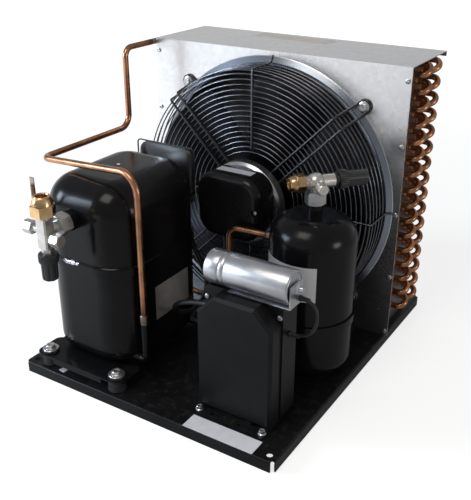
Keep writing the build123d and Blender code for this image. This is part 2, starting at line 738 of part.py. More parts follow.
save("compressor_stator", at_comp(compressor_stator()))
rotor_stack = rod_z(0, 0, STACK_Z0 + 1, STACK_Z1 - 1, COMP_ROTOR_R) - rod_z(0, 0, STACK_Z0, STACK_Z1, CRANK_R)
save("compressor_rotor", at_comp(rotor_stack))
save("crankshaft", at_comp(crankshaft()))
save("cylinder_block", at_comp(cylinder_block()))
save("piston", at_comp(piston()))
save("connecting_rod", at_comp(connecting_rod()))
save("suspension_springs", *[at_comp(spring) for spring in suspension_springs()])

# Terminal cover on the rear shoulder of the upper shell.
TERMINAL_HALF_X = 49.0
TERMINAL_Y0 = COMP_Y + COMP_HALF_Y + GAP
TERMINAL_DEPTH = 17.0
TERMINAL_Z0 = 208.0
TERMINAL_Z1 = 298.0
TERMINAL_WALL = 2.5
BAIL_R = 1.2
BAIL_PIVOT_Y = TERMINAL_Y0 + 9.0
BAIL_PIVOT_Z = 232.0
BAIL_REACH = 68.5


def terminal_cover():
    """Moulded cap over the compressor's terminals, open towards the shell."""
    y1 = TERMINAL_Y0 + TERMINAL_DEPTH
    w = TERMINAL_WALL
    cap = block(COMP_X - TERMINAL_HALF_X, COMP_X + TERMINAL_HALF_X, TERMINAL_Y0, y1, TERMINAL_Z0, TERMINAL_Z1)
    cap = fillet(cap.edges().filter_by(Axis.Y), 12.0)
    hollow = block(
        COMP_X - TERMINAL_HALF_X + w,
        COMP_X + TERMINAL_HALF_X - w,
        TERMINAL_Y0,
        y1 - w,
        TERMINAL_Z0 + w,
        COMP_TOP_Z - 46.0,
    )
    cap -= hollow
    cap -= rod_y(COMP_X - 36, 276, TERMINAL_Y0 - 1, TERMINAL_Y0 + 6, 4.5)
    for sx in (-1, 1):
        x = COMP_X + sx * (TERMINAL_HALF_X + 1.5)
        cap += rod_x(BAIL_PIVOT_Y, BAIL_PIVOT_Z, x - 2, x + 2, 5.0)
    x0, x1 = COMP_X - TERMINAL_HALF_X - 5, COMP_X + TERMINAL_HALF_X + 5
    return cap - rod_x(BAIL_PIVOT_Y, BAIL_PIVOT_Z, x0, x1, BAIL_R + 0.08)


def terminal_bail():
    """Spring wire that holds the terminal cover on and swings back off it."""
    x = TERMINAL_HALF_X + 3.5 + GAP + BAIL_R
    top = BAIL_PIVOT_Z + BAIL_REACH
    bend = 6.0
    y, z = BAIL_PIVOT_Y, BAIL_PIVOT_Z
    inset = 4.5
    points = [
        (COMP_X - x + inset, y, z),
        (COMP_X - x, y, z),
        (COMP_X - x, y, top),
        (COMP_X + x, y, top),
        (COMP_X + x, y, z),
        (COMP_X + x - inset, y, z),
    ]
    return tube(points, [1.6, bend, bend, 1.6], BAIL_R)


def terminal_pins():
    """Sealed terminal: steel cup on the shell's rear wall with three pins."""
    y = TERMINAL_Y0 - GAP
    z = (TERMINAL_Z0 + COMP_TOP_Z - 46.0) / 2 + 2
    cup = rod_y(COMP_X, z, y, y + 5, 15)
    for dx, dz in ((-6, -4), (6, -4), (0, 6)):
        cup += rod_y(COMP_X + dx, z + dz, y, y + 12, 1.6)
    return cup


save("terminal_cover", terminal_cover())
save("terminal_bail", terminal_bail())
save("terminal_pins", terminal_pins())


# --- refrigerant lines ------------------------------------------------------
LINE_R = 4.8


def process_tube():
    """Charging tube from the shell, bent up and pinched flat at its end."""
    x, y, z = PROCESS_X, -251.0, PROCESS_Z
    shell_y = SHELL_FRONT_Y + 16.0
    stem = tube([(x, shell_y, z), (x, y, z), (x, y, z + 26)], [9.0], PROCESS_R)
    pinch = loft(
        [
            Pos(x, y, z + 26) * Circle(PROCESS_R),
            Pos(x, y, z + 36) * Ellipse(4.5, 1.0),
        ]
    )
    flat = Pos(x, y, z + 36) * extrude(Ellipse(4.5, 1.0), 7)
    return stem + pinch + flat


save("process_tube", process_tube())

STUB_TOP_Z = 105.0
LINE_TOP_Z = 322.0
LEFT_RUN_Z = 300.0
HEADER_X = -(SHROUD_HALF_X + 5.5)
HEADER_Z = FIRST_LEVEL_Z + (LEVELS - 0.5) * LEVEL_PITCH
COIL_END_X = -(TUBE_SHEET_X + TUBE_SHEET_T)
BRANCH_STEP = 0.3


def discharge_stub():
    """Steel stub out of the lower shell's side, turned up to the copper line."""
    wall_x = COMP_X + COMP_HALF_X
    return tube(
        [(wall_x - 12.0, DISCHARGE_Y, DISCHARGE_Z), (DISCHARGE_X, DISCHARGE_Y, DISCHARGE_Z), (DISCHARGE_X, DISCHARGE_Y, STUB_TOP_Z)],
        [8.0],
        LINE_R + 0.8,
    )


def header_branch(row, z):
    """Short tube from a header along Y into the end of one coil tube."""
    y = FIRST_ROW_Y + row * ROW_PITCH
    return rod_x(y, z, HEADER_X, COIL_END_X, LINE_R - BRANCH_STEP)


def discharge_line():
    """Copper hot-gas line: up the shell, across it, back, up and along the coil as its inlet header."""
    last_y = FIRST_ROW_Y + 3 * ROW_PITCH
    points = [
        (DISCHARGE_X, DISCHARGE_Y, STUB_TOP_Z),
        (DISCHARGE_X, DISCHARGE_Y, LINE_TOP_Z),
        (HEADER_X, -172.5, LEFT_RUN_Z),
        (HEADER_X, 27.5, LEFT_RUN_Z),
        (HEADER_X, 27.5, HEADER_Z),
        (HEADER_X, last_y, HEADER_Z),
        (COIL_END_X, last_y, HEADER_Z),
    ]
    return tube(points, [28.0, 20.0, 22.0, 15.0, 12.0], LINE_R) + header_branch(1, HEADER_Z)


save("discharge_stub", discharge_stub())
save("discharge_line", discharge_line())


def liquid_line():
    """Copper line from the coil's bottom tube, behind the compressor and up to the receiver."""
    z = 24.0
    x_up, y_up = 16.0, -46.0
    level = 199.0
    third_y = FIRST_ROW_Y + 2 * ROW_PITCH
    reach = REC_R / math.hypot(REC_X - x_up, REC_Y - y_up)
    points = [
        (COIL_END_X, third_y, FIRST_LEVEL_Z),
        (HEADER_X, third_y, FIRST_LEVEL_Z),
        (HEADER_X, 30.0, FIRST_LEVEL_Z),
        (x_up, 12.0, z),
        (x_up, y_up, z),
        (x_up, y_up, level),
        (REC_X - reach * (REC_X - x_up), REC_Y - reach * (REC_Y - y_up), level),
    ]
    return tube(points, [12.0, 20.0, 20.0, 20.0, 15.0], LINE_R) + header_branch(0, FIRST_LEVEL_Z)


save("liquid_line", liquid_line())


# --- suction service valve --------------------------------------------------
def flare_nut(tube_r, flats, height):
    """Long brass nut, mouth up: six flats below a turned collar, bored for its tube."""
    body = hex_z(0, 0, 0, height * 0.58, flats)
    r = flats / 2
    collar = turned([(0, height * 0.58), (r, height * 0.58), (r * 0.98, height * 0.72), (r * 0.74, height), (0, height)])
    nut = body + collar
    nut -= rod_z(0, 0, height * 0.45, height + 1, tube_r + TUBE_FIT)
    return nut - rod_z(0, 0, -1, height * 0.45, r * 0.72)


SUCTION_BODY_HALF = 9.0
SUCTION_BODY_Z0 = 224.0
SUCTION_BODY_Z1 = 267.0
SUCTION_NUT_Z0 = 270.0
SUCTION_NUT_H = 28.0
SUCTION_FLATS = 30.0
NUT_GAP = GAP


def suction_valve_body():
    """Steel block with the flare seat above, the shell neck behind and a gauge port on each side."""
    x, y = SUCTION_X, SUCTION_Y
    h = SUCTION_BODY_HALF
    body = block(x - h, x + h, y - h, y + h, SUCTION_BODY_Z0, SUCTION_BODY_Z1)
    body = chamfer(body.edges().filter_by(Axis.Z), 2.0)
    body += rod_z(x, y, SUCTION_BODY_Z1 - 1, SUCTION_NUT_Z0 + SUCTION_NUT_H * 0.45 - 1, SUCTION_FLATS / 2 * 0.72 - NUT_GAP)
    neck_y = SHELL_FRONT_Y - SPUD_OUT - NUT_GAP
    body += rod_y(x, SUCTION_Z, y + h - 1, neck_y, 8.0)
    body += rod_y(x, SUCTION_Z, neck_y - 4, neck_y, 11.0)
    body += rod_x(y, SUCTION_Z + 1, x - h - 20, x - h + 1, 5.0)
    body += rod_x(y, SUCTION_Z - 9, x + h - 1, x + h + 12, 5.0)
    body += rod_z(x, y, SUCTION_BODY_Z0 - 18, SUCTION_BODY_Z0 + 1, 7.0)
    body -= rod_z(x, y, SUCTION_BODY_Z1 - 8, SUCTION_NUT_Z0 + 20, 6.0)
    body -= rod_z(x, y, SUCTION_BODY_Z0 - 19, SUCTION_BODY_Z0 + 14, STEM_R + STEM_CLEARANCE)
    return body


save("suction_valve_body", suction_valve_body())
suction_nut = Pos(SUCTION_X, SUCTION_Y, SUCTION_NUT_Z0) * flare_nut(SUCTION_TUBE_R, SUCTION_FLATS, SUCTION_NUT_H)


def valve_nut_y():
    """Union nut that draws the valve's neck onto the shell's spud."""
    y1 = SHELL_FRONT_Y - GAP - SPUD_OUT
    nut = Pos(SUCTION_X, y1, SUCTION_Z) * Rot(90, 0, 0) * hex_z(0, 0, 0, 19, 29.0)
    nut = nut - rod_y(SUCTION_X, SUCTION_Z, y1 - 15, y1 + 1, 11.0 + NUT_GAP)
    return nut - rod_y(SUCTION_X, SUCTION_Z, y1 - 22, y1 - 14, 8.0 + NUT_GAP)


def stem(length):
    """Valve spindle, tip at z = 0 and its square end up."""
    round_part = rod_z(0, 0, 0, length - 6, STEM_R)
    square = block(-2.6, 2.6, -2.6, 2.6, length - 6, length)
    return round_part + square


SUCTION_STEM_Z = SUCTION_BODY_Z0 + 13.0
suction_stem = Pos(SUCTION_X, SUCTION_Y, SUCTION_STEM_Z) * Rot(180, 0, 0) * stem(40.0)
save("suction_valve_stem", suction_stem)


def stem_cap(depth, r, seat):
    """Black ribbed cap, mouth down at z = 0, wide skirt then a narrower grip."""
    shell = rod_z(0, 0, 0, 13, r)
    grip = RegularPolygon(r - 2.3, 8)
    shell += Pos(0, 0, 13) * extrude(grip, depth - 13)
    for i in range(20):
        shell -= Rot(0, 0, i * 18) * Pos(r, 0, 4) * Box(1.2, 1.6, 12)
    return shell - rod_z(0, 0, -1, depth - 3, seat)


CAP_SKIRT_R = 13.8
CAP_SEAT_R = 7.0 + GAP
suction_cap = Pos(SUCTION_X, SUCTION_Y, SUCTION_BODY_Z0 - 8) * Rot(180, 0, 0) * stem_cap(39.0, CAP_SKIRT_R, CAP_SEAT_R)
save("suction_stem_cap", suction_cap)


def hex_cap(flats, length):
    """Small chamfered hexagon cap, mouth at z = 0."""
    cap = hex_z(0, 0, 0, length, flats)
    limit = turned([(0, -1), (flats, -1), (flats * 0.6, length - 3), (flats * 0.46, length), (0, length)])
    cap = cap & limit
    return cap - rod_z(0, 0, -1, length - 4, 5.0 + GAP)


# --- receiver ---------------------------------------------------------------
def at_receiver(shape):
    return Pos(REC_X, REC_Y, 0) * shape


def receiver_shells():
    """Two drawn cups: the lower one's lip is swaged over the upper one."""
    t = REC_WALL
    bottom, top, seam, r = REC_BOTTOM_Z, REC_TOP_Z, REC_SEAM_Z, REC_R
    lip = 11.0
    low = rod_z(0, 0, bottom, seam, r)
    low = fillet(low.edges().sort_by(Axis.Z)[0], 22.0)
    low_in = rod_z(0, 0, bottom + t, seam + 1, r - t)
    low_in = chamfer(low_in.edges().sort_by(Axis.Z)[0], 13.0)
    low += rod_z(0, 0, seam - lip, seam, r + t)
    low = low - low_in - rod_z(0, 0, seam - lip + t, seam + 1, r)
    high = rod_z(0, 0, seam - lip + t, top, r)
    high = fillet(high.edges().sort_by(Axis.Z)[-1], 36.0)
    high_in = rod_z(0, 0, seam - lip, top - t, r - t)
    high_in = chamfer(high_in.edges().sort_by(Axis.Z)[-1], 21.0)
    neck = rod_z(0, 0, top - 1, top + 15, 11.0)
    high = high - high_in + neck
    high -= rod_z(0, 0, top - 10, top + 20, 5.0)
    return low, high


receiver_low, receiver_high = receiver_shells()
save("receiver_lower_shell", at_receiver(receiver_low))
save("receiver_upper_shell", at_receiver(receiver_high))


def receiver_foot():
    """Dished ring under the receiver, bolted to the deck."""
    ring_r = 40.0
    foot = turned([(ring_r - 3, 0), (ring_r + 4, 0), (ring_r + 4, 2), (ring_r, 2), (ring_r, REC_BOTTOM_Z), (ring_r - 3, REC_BOTTOM_Z)])
    return foot


save("receiver_foot", at_receiver(receiver_foot()))

NECK_TOP_Z = REC_TOP_Z + 15.0
BODY_BOTTOM_Z = 275.0


def valve_nut_z():
    """Union nut between the receiver's neck and its valve."""
    nut = hex_z(0, 0, NECK_TOP_Z, 281.0, 26.0, REC_VALVE_TURN)
    nut -= rod_z(0, 0, NECK_TOP_Z - 2, BODY_BOTTOM_Z + 1 + GAP, 10.5 + GAP)
    return nut - rod_z(0, 0, BODY_BOTTOM_Z - 5, 287.0, 7.0 + GAP)


save("valve_nuts", valve_nut_y(), at_receiver(valve_nut_z()))


def along_valve(shape):
    """Place a part drawn along +Z onto the receiver valve's axis, pointing to the stem cap."""
    return Pos(REC_X, REC_Y, REC_VALVE_Z) * Rot(0, 0, REC_VALVE_TURN) * Rot(0, 90, 0) * shape


def receiver_valve_body():
    """Cast nickel-plated body: flare seat one way, packed spindle the other, gauge port aside."""
    core = rod_z(0, 0, -13, 30, 9.5)
    core += rod_z(0, 0, -26.5, -12, 24.0 / 2 * 0.72 - NUT_GAP)
    core += rod_z(0, 0, 29, 43, 7.0)
    body = along_valve(core)
    neck = rod_z(REC_X, REC_Y, BODY_BOTTOM_Z + 1, REC_VALVE_Z, 7.0)
    flange = rod_z(REC_X, REC_Y, NECK_TOP_Z + GAP, BODY_BOTTOM_Z + 1, 10.5)
    knob = Pos(REC_X, REC_Y, REC_VALVE_Z) * Sphere(13.0)
    port = Pos(REC_X, REC_Y, REC_VALVE_Z - 3) * Rot(0, 0, REC_VALVE_TURN - 90) * Rot(0, 90, 0) * rod_z(0, 0, 0, 22, 5.0)
    body = body + neck + flange + knob + port
    body -= along_valve(rod_z(0, 0, 18, 50, STEM_R + STEM_CLEARANCE))
    body -= along_valve(rod_z(0, 0, -30, 0, 4.0))
    return body


save("receiver_valve_body", receiver_valve_body())
receiver_nut = along_valve(Pos(0, 0, -17.5) * Rot(180, 0, 0) * flare_nut(LIQUID_TUBE_R, 24.0, 22.5))
save("flare_nuts", suction_nut, receiver_nut)
save("receiver_valve_stem", along_valve(Pos(0, 0, 19) * stem(34.0)))
save("receiver_stem_cap", along_valve(Pos(0, 0, 31) * stem_cap(44.0, CAP_SKIRT_R, CAP_SEAT_R)))


def port_caps():
    """Three caps: two on the suction valve's ports, one on the receiver valve's gauge port."""
    h = SUCTION_BODY_HALF
    left = Pos(SUCTION_X - h - 12, SUCTION_Y, SUCTION_Z + 1) * Rot(0, -90, 0) * hex_cap(17.0, 16.0)
    right = Pos(SUCTION_X + h + 4, SUCTION_Y, SUCTION_Z - 9) * Rot(0, 90, 0) * hex_cap(17.0, 14.0)
    turn = Rot(0, 0, REC_VALVE_TURN - 90) * Rot(0, 90, 0)
    gauge = Pos(REC_X, REC_Y, REC_VALVE_Z - 3) * turn * Pos(0, 0, 13.5) * hex_cap(14.0, 15.0)
    return left, right, gauge


save("port_caps", *port_caps())


# --- electrical box and capacitor -------------------------------------------
def box_outline(width, height, cut):
    """Upright box outline with its two upper corners cut, centred on X."""
    w = width / 2
    points = [(-w, 0), (w, 0), (w, height - cut), (w - cut, height), (-w + cut, height), (-w, height - cut)]
    return make_face(Polyline(*points, close=True))


def box_place(shape, y):
    return Pos(BOX_X, y, BOX_BOTTOM_Z) * Rot(90, 0, 0) * shape


SPLIT_Y = BOX_FRONT_Y + COVER_DEPTH
BOX_SCREW_X = BOX_WIDTH / 2 - 3.5
BOX_SCREW_Z = BOX_HEIGHT - 18.0


def box_cover():
    """Moulded front with a softened face and cut upper corners."""
    w = BOX_WALL
    outer = extrude(box_outline(BOX_WIDTH - 2, BOX_HEIGHT - 2, BOX_CHAMFER), COVER_DEPTH)
    outer = chamfer(outer.faces().sort_by(Axis.Z)[-1].edges(), 4.0)
    inner = extrude(box_outline(BOX_WIDTH - 2 - 2 * w, BOX_HEIGHT - 2 - 2 * w, BOX_CHAMFER - w * 0.6), COVER_DEPTH - w)
    inner = chamfer(inner.faces().sort_by(Axis.Z)[-1].edges(), 3.0)
    return box_place(outer - Pos(0, w, 0) * inner, SPLIT_Y)


def box_base():
    """Moulded tray: full rectangle with screw corners, open towards the cover."""
    w = BOX_WALL
    depth = BOX_DEPTH - COVER_DEPTH
    y_back = BOX_FRONT_Y + BOX_DEPTH
    face = Pos(0, BOX_HEIGHT / 2, 0) * RectangleRounded(BOX_WIDTH + 2, BOX_HEIGHT, 8)
    tray = extrude(face, depth)
    hollow = extrude(box_outline(BOX_WIDTH - 2 - 2 * w, BOX_HEIGHT - 2 * w - 2, BOX_CHAMFER), depth - w)
    tray -= Pos(0, w, w) * hollow
    for s in (-1, 1):
        tray -= Pos(s * BOX_SCREW_X, BOX_SCREW_Z, depth / 2) * Cylinder(1.75, depth)
    return box_place(tray, y_back)


save("electrical_box_cover", box_cover())
save("electrical_box_base", box_base())


def box_relay():
    """Starting relay on the tray's back wall, with its two rows of blade terminals."""
    y1 = BOX_FRONT_Y + BOX_DEPTH - BOX_WALL
    relay = block(BOX_X - 26, BOX_X + 26, y1 - 24, y1, BOX_BOTTOM_Z + 40, BOX_BOTTOM_Z + 96)
    for i in range(4):
        x = BOX_X - 18 + 12 * i
        relay += block(x - 3, x + 3, y1 - 32, y1 - 24, BOX_BOTTOM_Z + 46, BOX_BOTTOM_Z + 47)
        relay += block(x - 3, x + 3, y1 - 32, y1 - 24, BOX_BOTTOM_Z + 86, BOX_BOTTOM_Z + 87)
    return relay


save("box_relay", box_relay())


def cover_screw(length):
    """Pan-head machine screw, head up, seat at z = 0."""
    return rod_z(0, 0, 0, 2.6, 3.8) + rod_z(0, 0, -length, 0, 1.75)


def cover_screws():
    screws = [
        Pos(BOX_X + s * BOX_SCREW_X, SPLIT_Y, BOX_BOTTOM_Z + BOX_SCREW_Z) * Rot(90, 0, 0) * cover_screw(16)
        for s in (-1, 1)
    ]
    long = cover_screw(SHIELD_FRONT_Y + 8 - COVER_SCREW_SEAT_Y)
    screws.append(Pos(COVER_SCREW_X, COVER_SCREW_SEAT_Y, COVER_SCREW_Z) * Rot(90, 0, 0) * long)
    return screws


save("cover_screws", *cover_screws())


def box_bracket():
    """Folded bracket: slotted foot on the deck, upright plate behind the box."""
    y_back = BOX_FRONT_Y + BOX_DEPTH
    half = 56.0
    foot = block(BOX_X - half, BOX_X + half, BOX_FRONT_Y - 16, y_back + BRACKET_T, 0, BRACKET_T)
    plate = block(BOX_X - half, BOX_X + half, y_back, y_back + BRACKET_T, 0, BOX_BOTTOM_Z + BOX_HEIGHT - 2)
    ledge = block(BOX_X - 30, BOX_X + 30, BOX_FRONT_Y, y_back, BRACKET_T, BOX_BOTTOM_Z)
    bracket = foot + plate + ledge
    for x, y in BRACKET_BOLT_POINTS:
        bracket -= rod_z(x, y, -1, BRACKET_T + 1, BRACKET_BOLT_R + BOLT_CLEARANCE)
    for s in (-1, 1):
        bracket -= block(BOX_X + s * 22 - 9, BOX_X + s * 22 + 9, BOX_FRONT_Y - 10, BOX_FRONT_Y - 5, -1, BRACKET_T + 1)
    return bracket


save("box_bracket", box_bracket())

CAP_Z = BOX_BOTTOM_Z + BOX_HEIGHT + 2.0 + CAP_R + GAP


def capacitor():
    """Drawn aluminium can with a rolled groove near its closed end and a terminal stud."""
    groove_1, groove_2 = 20.0, 28.0
    profile = [
        (0, 0),
        (CAP_R - 2, 0),
        (CAP_R, 2),
        (CAP_R, groove_1),
        (CAP_R - 1.2, groove_1 + 1.5),
        (CAP_R, groove_1 + 3),
        (CAP_R, groove_2),
        (CAP_R - 1.2, groove_2 + 1.5),
        (CAP_R, groove_2 + 3),
        (CAP_R, CAP_LENGTH - 1.5),
        (CAP_R - 1.5, CAP_LENGTH),
        (0, CAP_LENGTH),
    ]
    return Pos(CAP_X0, CAP_Y, CAP_Z) * Rot(0, 90, 0) * turned(profile)


def capacitor_saddle():
    """Folded saddle on the box's roof under the can, turned up at the stud end."""
    z0 = BOX_BOTTOM_Z + BOX_HEIGHT
    x0, x1 = CAP_X0 + 34, CAP_X0 + CAP_LENGTH
    y0, y1 = CAP_Y - 15, CAP_Y + 15
    saddle = block(x0, x1 + 2, y0, y1, z0, z0 + 2.0)
    saddle += block(x1 + GAP, x1 + 2, y0, y1, z0, CAP_Z + 6)
    stud = rod_x(CAP_Y, CAP_Z, x1 + 1, x1 + 12, 4.0)
    nut = Pos(x1 + 2, CAP_Y, CAP_Z) * Rot(0, 90, 0) * hex_z(0, 0, 0, 5, 11.0)
    return saddle + stud + nut


save("capacitor_can", capacitor())
save("capacitor_bracket", capacitor_saddle())


# --- cables -----------------------------------------------------------------
def cord_radii(points):
    """One bend radius for each corner, from the runs beside it."""
    vectors = [Vector(*p) for p in points]
    radii = []
    for before, here, after in zip(vectors, vectors[1:], vectors[2:]):
        run_in, run_out = here - before, after - here
        turn = math.radians(run_in.get_angle(run_out))
        radii.append(0.45 * min(run_in.length, run_out.length) / math.tan(turn / 2))
    return radii


def cable(name, points, diameter):
    """Plain round cable along its route; prints its length, radii and volume check."""
    radii = cord_radii(points)
    path = FilletPolyline(*points, radius=radii)
    solid = tube(points, radii, diameter / 2)
    ratio = solid.volume / (math.pi * diameter**2 / 4 * path.length)
    print(name, "length", round(path.length, 1), "radii", [round(r, 1) for r in radii], "fill", round(ratio, 4))
    save(name, solid)


BOX_LEFT_X = BOX_X - BOX_WIDTH / 2 - 1.0
BOX_RIGHT_X = BOX_X + BOX_WIDTH / 2 + 1.0
CONDUIT_D = 8.5
CONDUIT_ROUTE = [
    (BOX_LEFT_X, -170.0, 140.0),
    (34.0, -170.0, 140.0),
    (6.0, -161.0, 127.0),
    (-8.0, -140.0, 105.0),
    (-12.0, -105.0, 90.0),
    (-18.0, -65.0, 86.0),
    (-35.0, -30.0, 94.0),
    (-58.0, -14.0, 115.0),
    (-79.0, -12.0, 152.0),
    (-79.0, -12.0, TERMINAL_Z0),
]
cable("compressor_cable", CONDUIT_ROUTE, CONDUIT_D)

MOTOR_CABLE_D = 5.5
MOTOR_CABLE_ROUTE = [
    (-16.0, -8.0, MOTOR_COVER_Z - MOTOR_COVER_H / 2),
    (-16.0, -8.0, 130.0),
    (-12.0, -27.0, 108.0),
    (-5.0, -57.0, 95.0),
    (1.0, -90.0, 91.0),
    (10.0, -124.0, 96.0),
    (26.0, -160.0, 106.0),
    (BOX_LEFT_X, -160.0, 106.0),
]
cable("motor_cable", MOTOR_CABLE_ROUTE, MOTOR_CABLE_D)

CAP_CABLE_D = 4.8
CAP_CABLE_ROUTE = [
    (BOX_RIGHT_X, -170.0, 134.0),
    (200.0, -170.0, 134.0),
    (217.0, -170.0, 141.0),
    (226.0, -169.0, 157.0),
    (225.0, -168.0, 178.0),
    (214.0, -168.0, 189.5),
    (CAP_X0 + CAP_LENGTH + 2.0, -168.0, 189.5),
]
cable("capacitor_cable", CAP_CABLE_ROUTE, CAP_CABLE_D)
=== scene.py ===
import bpy
import math
from mathutils import Matrix, Vector


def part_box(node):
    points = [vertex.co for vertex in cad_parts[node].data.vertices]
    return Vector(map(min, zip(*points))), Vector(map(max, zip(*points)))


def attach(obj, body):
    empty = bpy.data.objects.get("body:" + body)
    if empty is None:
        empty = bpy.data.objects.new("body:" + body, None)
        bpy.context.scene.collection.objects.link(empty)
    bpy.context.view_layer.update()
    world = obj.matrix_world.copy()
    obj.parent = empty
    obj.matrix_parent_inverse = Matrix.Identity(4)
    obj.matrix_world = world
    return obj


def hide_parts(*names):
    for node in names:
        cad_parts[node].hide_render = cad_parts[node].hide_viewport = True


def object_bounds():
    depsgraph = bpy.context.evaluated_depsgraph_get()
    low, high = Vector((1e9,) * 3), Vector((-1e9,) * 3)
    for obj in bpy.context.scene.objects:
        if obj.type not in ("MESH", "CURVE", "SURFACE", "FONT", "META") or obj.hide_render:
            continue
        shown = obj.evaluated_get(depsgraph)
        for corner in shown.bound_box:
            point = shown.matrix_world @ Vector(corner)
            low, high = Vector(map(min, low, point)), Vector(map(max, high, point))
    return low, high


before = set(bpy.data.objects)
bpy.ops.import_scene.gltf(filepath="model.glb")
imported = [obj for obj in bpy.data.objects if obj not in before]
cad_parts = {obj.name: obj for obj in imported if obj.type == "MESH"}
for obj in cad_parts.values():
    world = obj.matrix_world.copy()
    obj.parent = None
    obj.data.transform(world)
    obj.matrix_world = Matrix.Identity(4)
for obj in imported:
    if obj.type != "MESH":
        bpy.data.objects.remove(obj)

cad_box = [list(corner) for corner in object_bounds()]


# Studio. The unit stands on a pale floor before a white backdrop, in a dim room lit by
# a cool window, a warm ceiling and a side lamp. Every pose and view keeps this light.
def add_node(tree, kind, inputs=None, **settings):
    """New shader node with its settings; each input gets a value or another node's output."""
    made = tree.nodes.new(kind)
    for key, value in settings.items():
        setattr(made, key, value)
    for key, value in (inputs or {}).items():
        if isinstance(value, bpy.types.NodeSocket):
            tree.links.new(value, made.inputs[key])
        else:
            made.inputs[key].default_value = value
    return made


def ramp(tree, value, low, high, at_low=0.0, at_high=1.0, smooth=True):
    """Output that runs from at_low to at_high while the value runs from low to high."""
    kind = "SMOOTHSTEP" if smooth else "LINEAR"
    span = {"Value": value, "From Min": low, "From Max": high, "To Min": at_low, "To Max": at_high}
    return add_node(tree, "ShaderNodeMapRange", span, interpolation_type=kind).outputs["Result"]


def combine(tree, operation, first, second):
    """Output of a math node."""
    return add_node(tree, "ShaderNodeMath", {0: first, 1: second}, operation=operation).outputs["Value"]


def seen_rays(tree, glossy_share):
    """1 on camera and transmission rays, and the given share on glossy rays."""
    rays = add_node(tree, "ShaderNodeLightPath").outputs
    direct = combine(tree, "MAXIMUM", rays["Is Camera Ray"], rays["Is Transmission Ray"])
    mirrored = combine(tree, "MULTIPLY", rays["Is Glossy Ray"], glossy_share)
    return combine(tree, "MAXIMUM", direct, mirrored)


WHITE = (1, 1, 1, 1)
CAMERA_PLACE = (0.5802, -0.9220, 0.6539)
CAMERA_TURN = (math.radians(64.7), 0, math.radians(32.3))
LAMPS = {
    "window": ((-1.6, -1.25, 0.85), 0.65, 27.0, (0.70, 0.83, 1.0)),
    "ceiling_softbox": ((-0.1, -1.0, 1.7), 0.8, 9.0, (1.0, 0.94, 0.86)),
    "side_softbox": ((2.0, -0.1, 0.5), 0.5, 5.0, (1.0, 0.96, 0.90)),
}
AIM = Vector((0, 0, 0.2))

bpy.ops.object.select_all(action="DESELECT")
bpy.ops.object.camera_add(location=CAMERA_PLACE, rotation=CAMERA_TURN)
camera = bpy.context.object
camera.data.lens = 54.59
camera.data.clip_start = 0.01
bpy.context.scene.camera = camera
bpy.context.scene.view_settings.view_transform = "Standard"

for name, (place, size, power, tint) in LAMPS.items():
    bpy.ops.object.light_add(type="AREA", location=place)
    lamp = bpy.context.object
    lamp.name = name
    lamp.data.size = size
    lamp.data.energy = power
    lamp.data.color = tint
    lamp.rotation_euler = (AIM - Vector(place)).to_track_quat("-Z", "Y").to_euler()

sky = bpy.data.worlds.new("studio_sky")
bpy.context.scene.world = sky
sky.use_nodes = True
room = sky.node_tree.nodes["Background"]
room.inputs["Color"].default_value = (0.97, 0.98, 1, 1)
room.inputs["Strength"].default_value = 0.30
BACKDROP_SIDE = (-0.534, 0.845, -2.0)
heading = add_node(sky.node_tree, "ShaderNodeTexCoord").outputs["Generated"]
facing = add_node(
    sky.node_tree, "ShaderNodeVectorMath", {0: heading, 1: BACKDROP_SIDE}, operation="DOT_PRODUCT"
)
backdrop_share = ramp(sky.node_tree, facing.outputs["Value"], -0.15, 1.35)
backdrop = add_node(sky.node_tree, "ShaderNodeBackground", {"Color": WHITE, "Strength": 1.0})
sky_sides = {
    "Fac": seen_rays(sky.node_tree, backdrop_share),
    1: room.outputs["Background"],
    2: backdrop.outputs["Background"],
}
sky_mix = add_node(sky.node_tree, "ShaderNodeMixShader", sky_sides)
sky.node_tree.links.new(sky_mix.outputs["Shader"], sky.node_tree.nodes["World Output"].inputs["Surface"])

bpy.ops.mesh.primitive_plane_add(size=24, location=(0, 0, cad_box[0][2]))
floor = bpy.context.object
floor.name = "floor"
floor_paint = bpy.data.materials.new("floor_paint")
floor_paint.use_nodes = True
floor_tree = floor_paint.node_tree
floor_shader = floor_tree.nodes["Principled BSDF"]
floor_shader.inputs["Base Color"].default_value = (0.45, 0.45, 0.45, 1)
floor_shader.inputs["Roughness"].default_value = 0.9
floor_shader.inputs["Specular IOR Level"].default_value = 0.1
floor_place = add_node(floor_tree, "ShaderNodeTexCoord").outputs["Object"]
floor_axes = add_node(floor_tree, "ShaderNodeSeparateXYZ", {"Vector": floor_place}).outputs
floor_reach = add_node(floor_tree, "ShaderNodeVectorMath", {0: floor_place}, operation="LENGTH")
floor_fade = ramp(floor_tree, floor_reach.outputs["Value"], 0.6, 3.0, 0.74, 0.98)
floor_light = {"Color": WHITE, "Strength": floor_fade}
floor_glow = add_node(floor_tree, "ShaderNodeEmission", floor_light)
floor_both = {0: floor_shader.outputs["BSDF"], 1: floor_glow.outputs["Emission"]}
floor_sum = add_node(floor_tree, "ShaderNodeAddShader", floor_both)
floor_sides = {
    "Fac": seen_rays(floor_tree, ramp(floor_tree, floor_axes["X"], -0.65, 0.05, 1.0, 0.12)),
    1: floor_shader.outputs["BSDF"],
    2: floor_sum.outputs["Shader"],
}
floor_mix = add_node(floor_tree, "ShaderNodeMixShader", floor_sides)
floor_tree.links.new(floor_mix.outputs["Shader"], floor_tree.nodes["Material Output"].inputs["Surface"])
floor.data.materials.append(floor_paint)


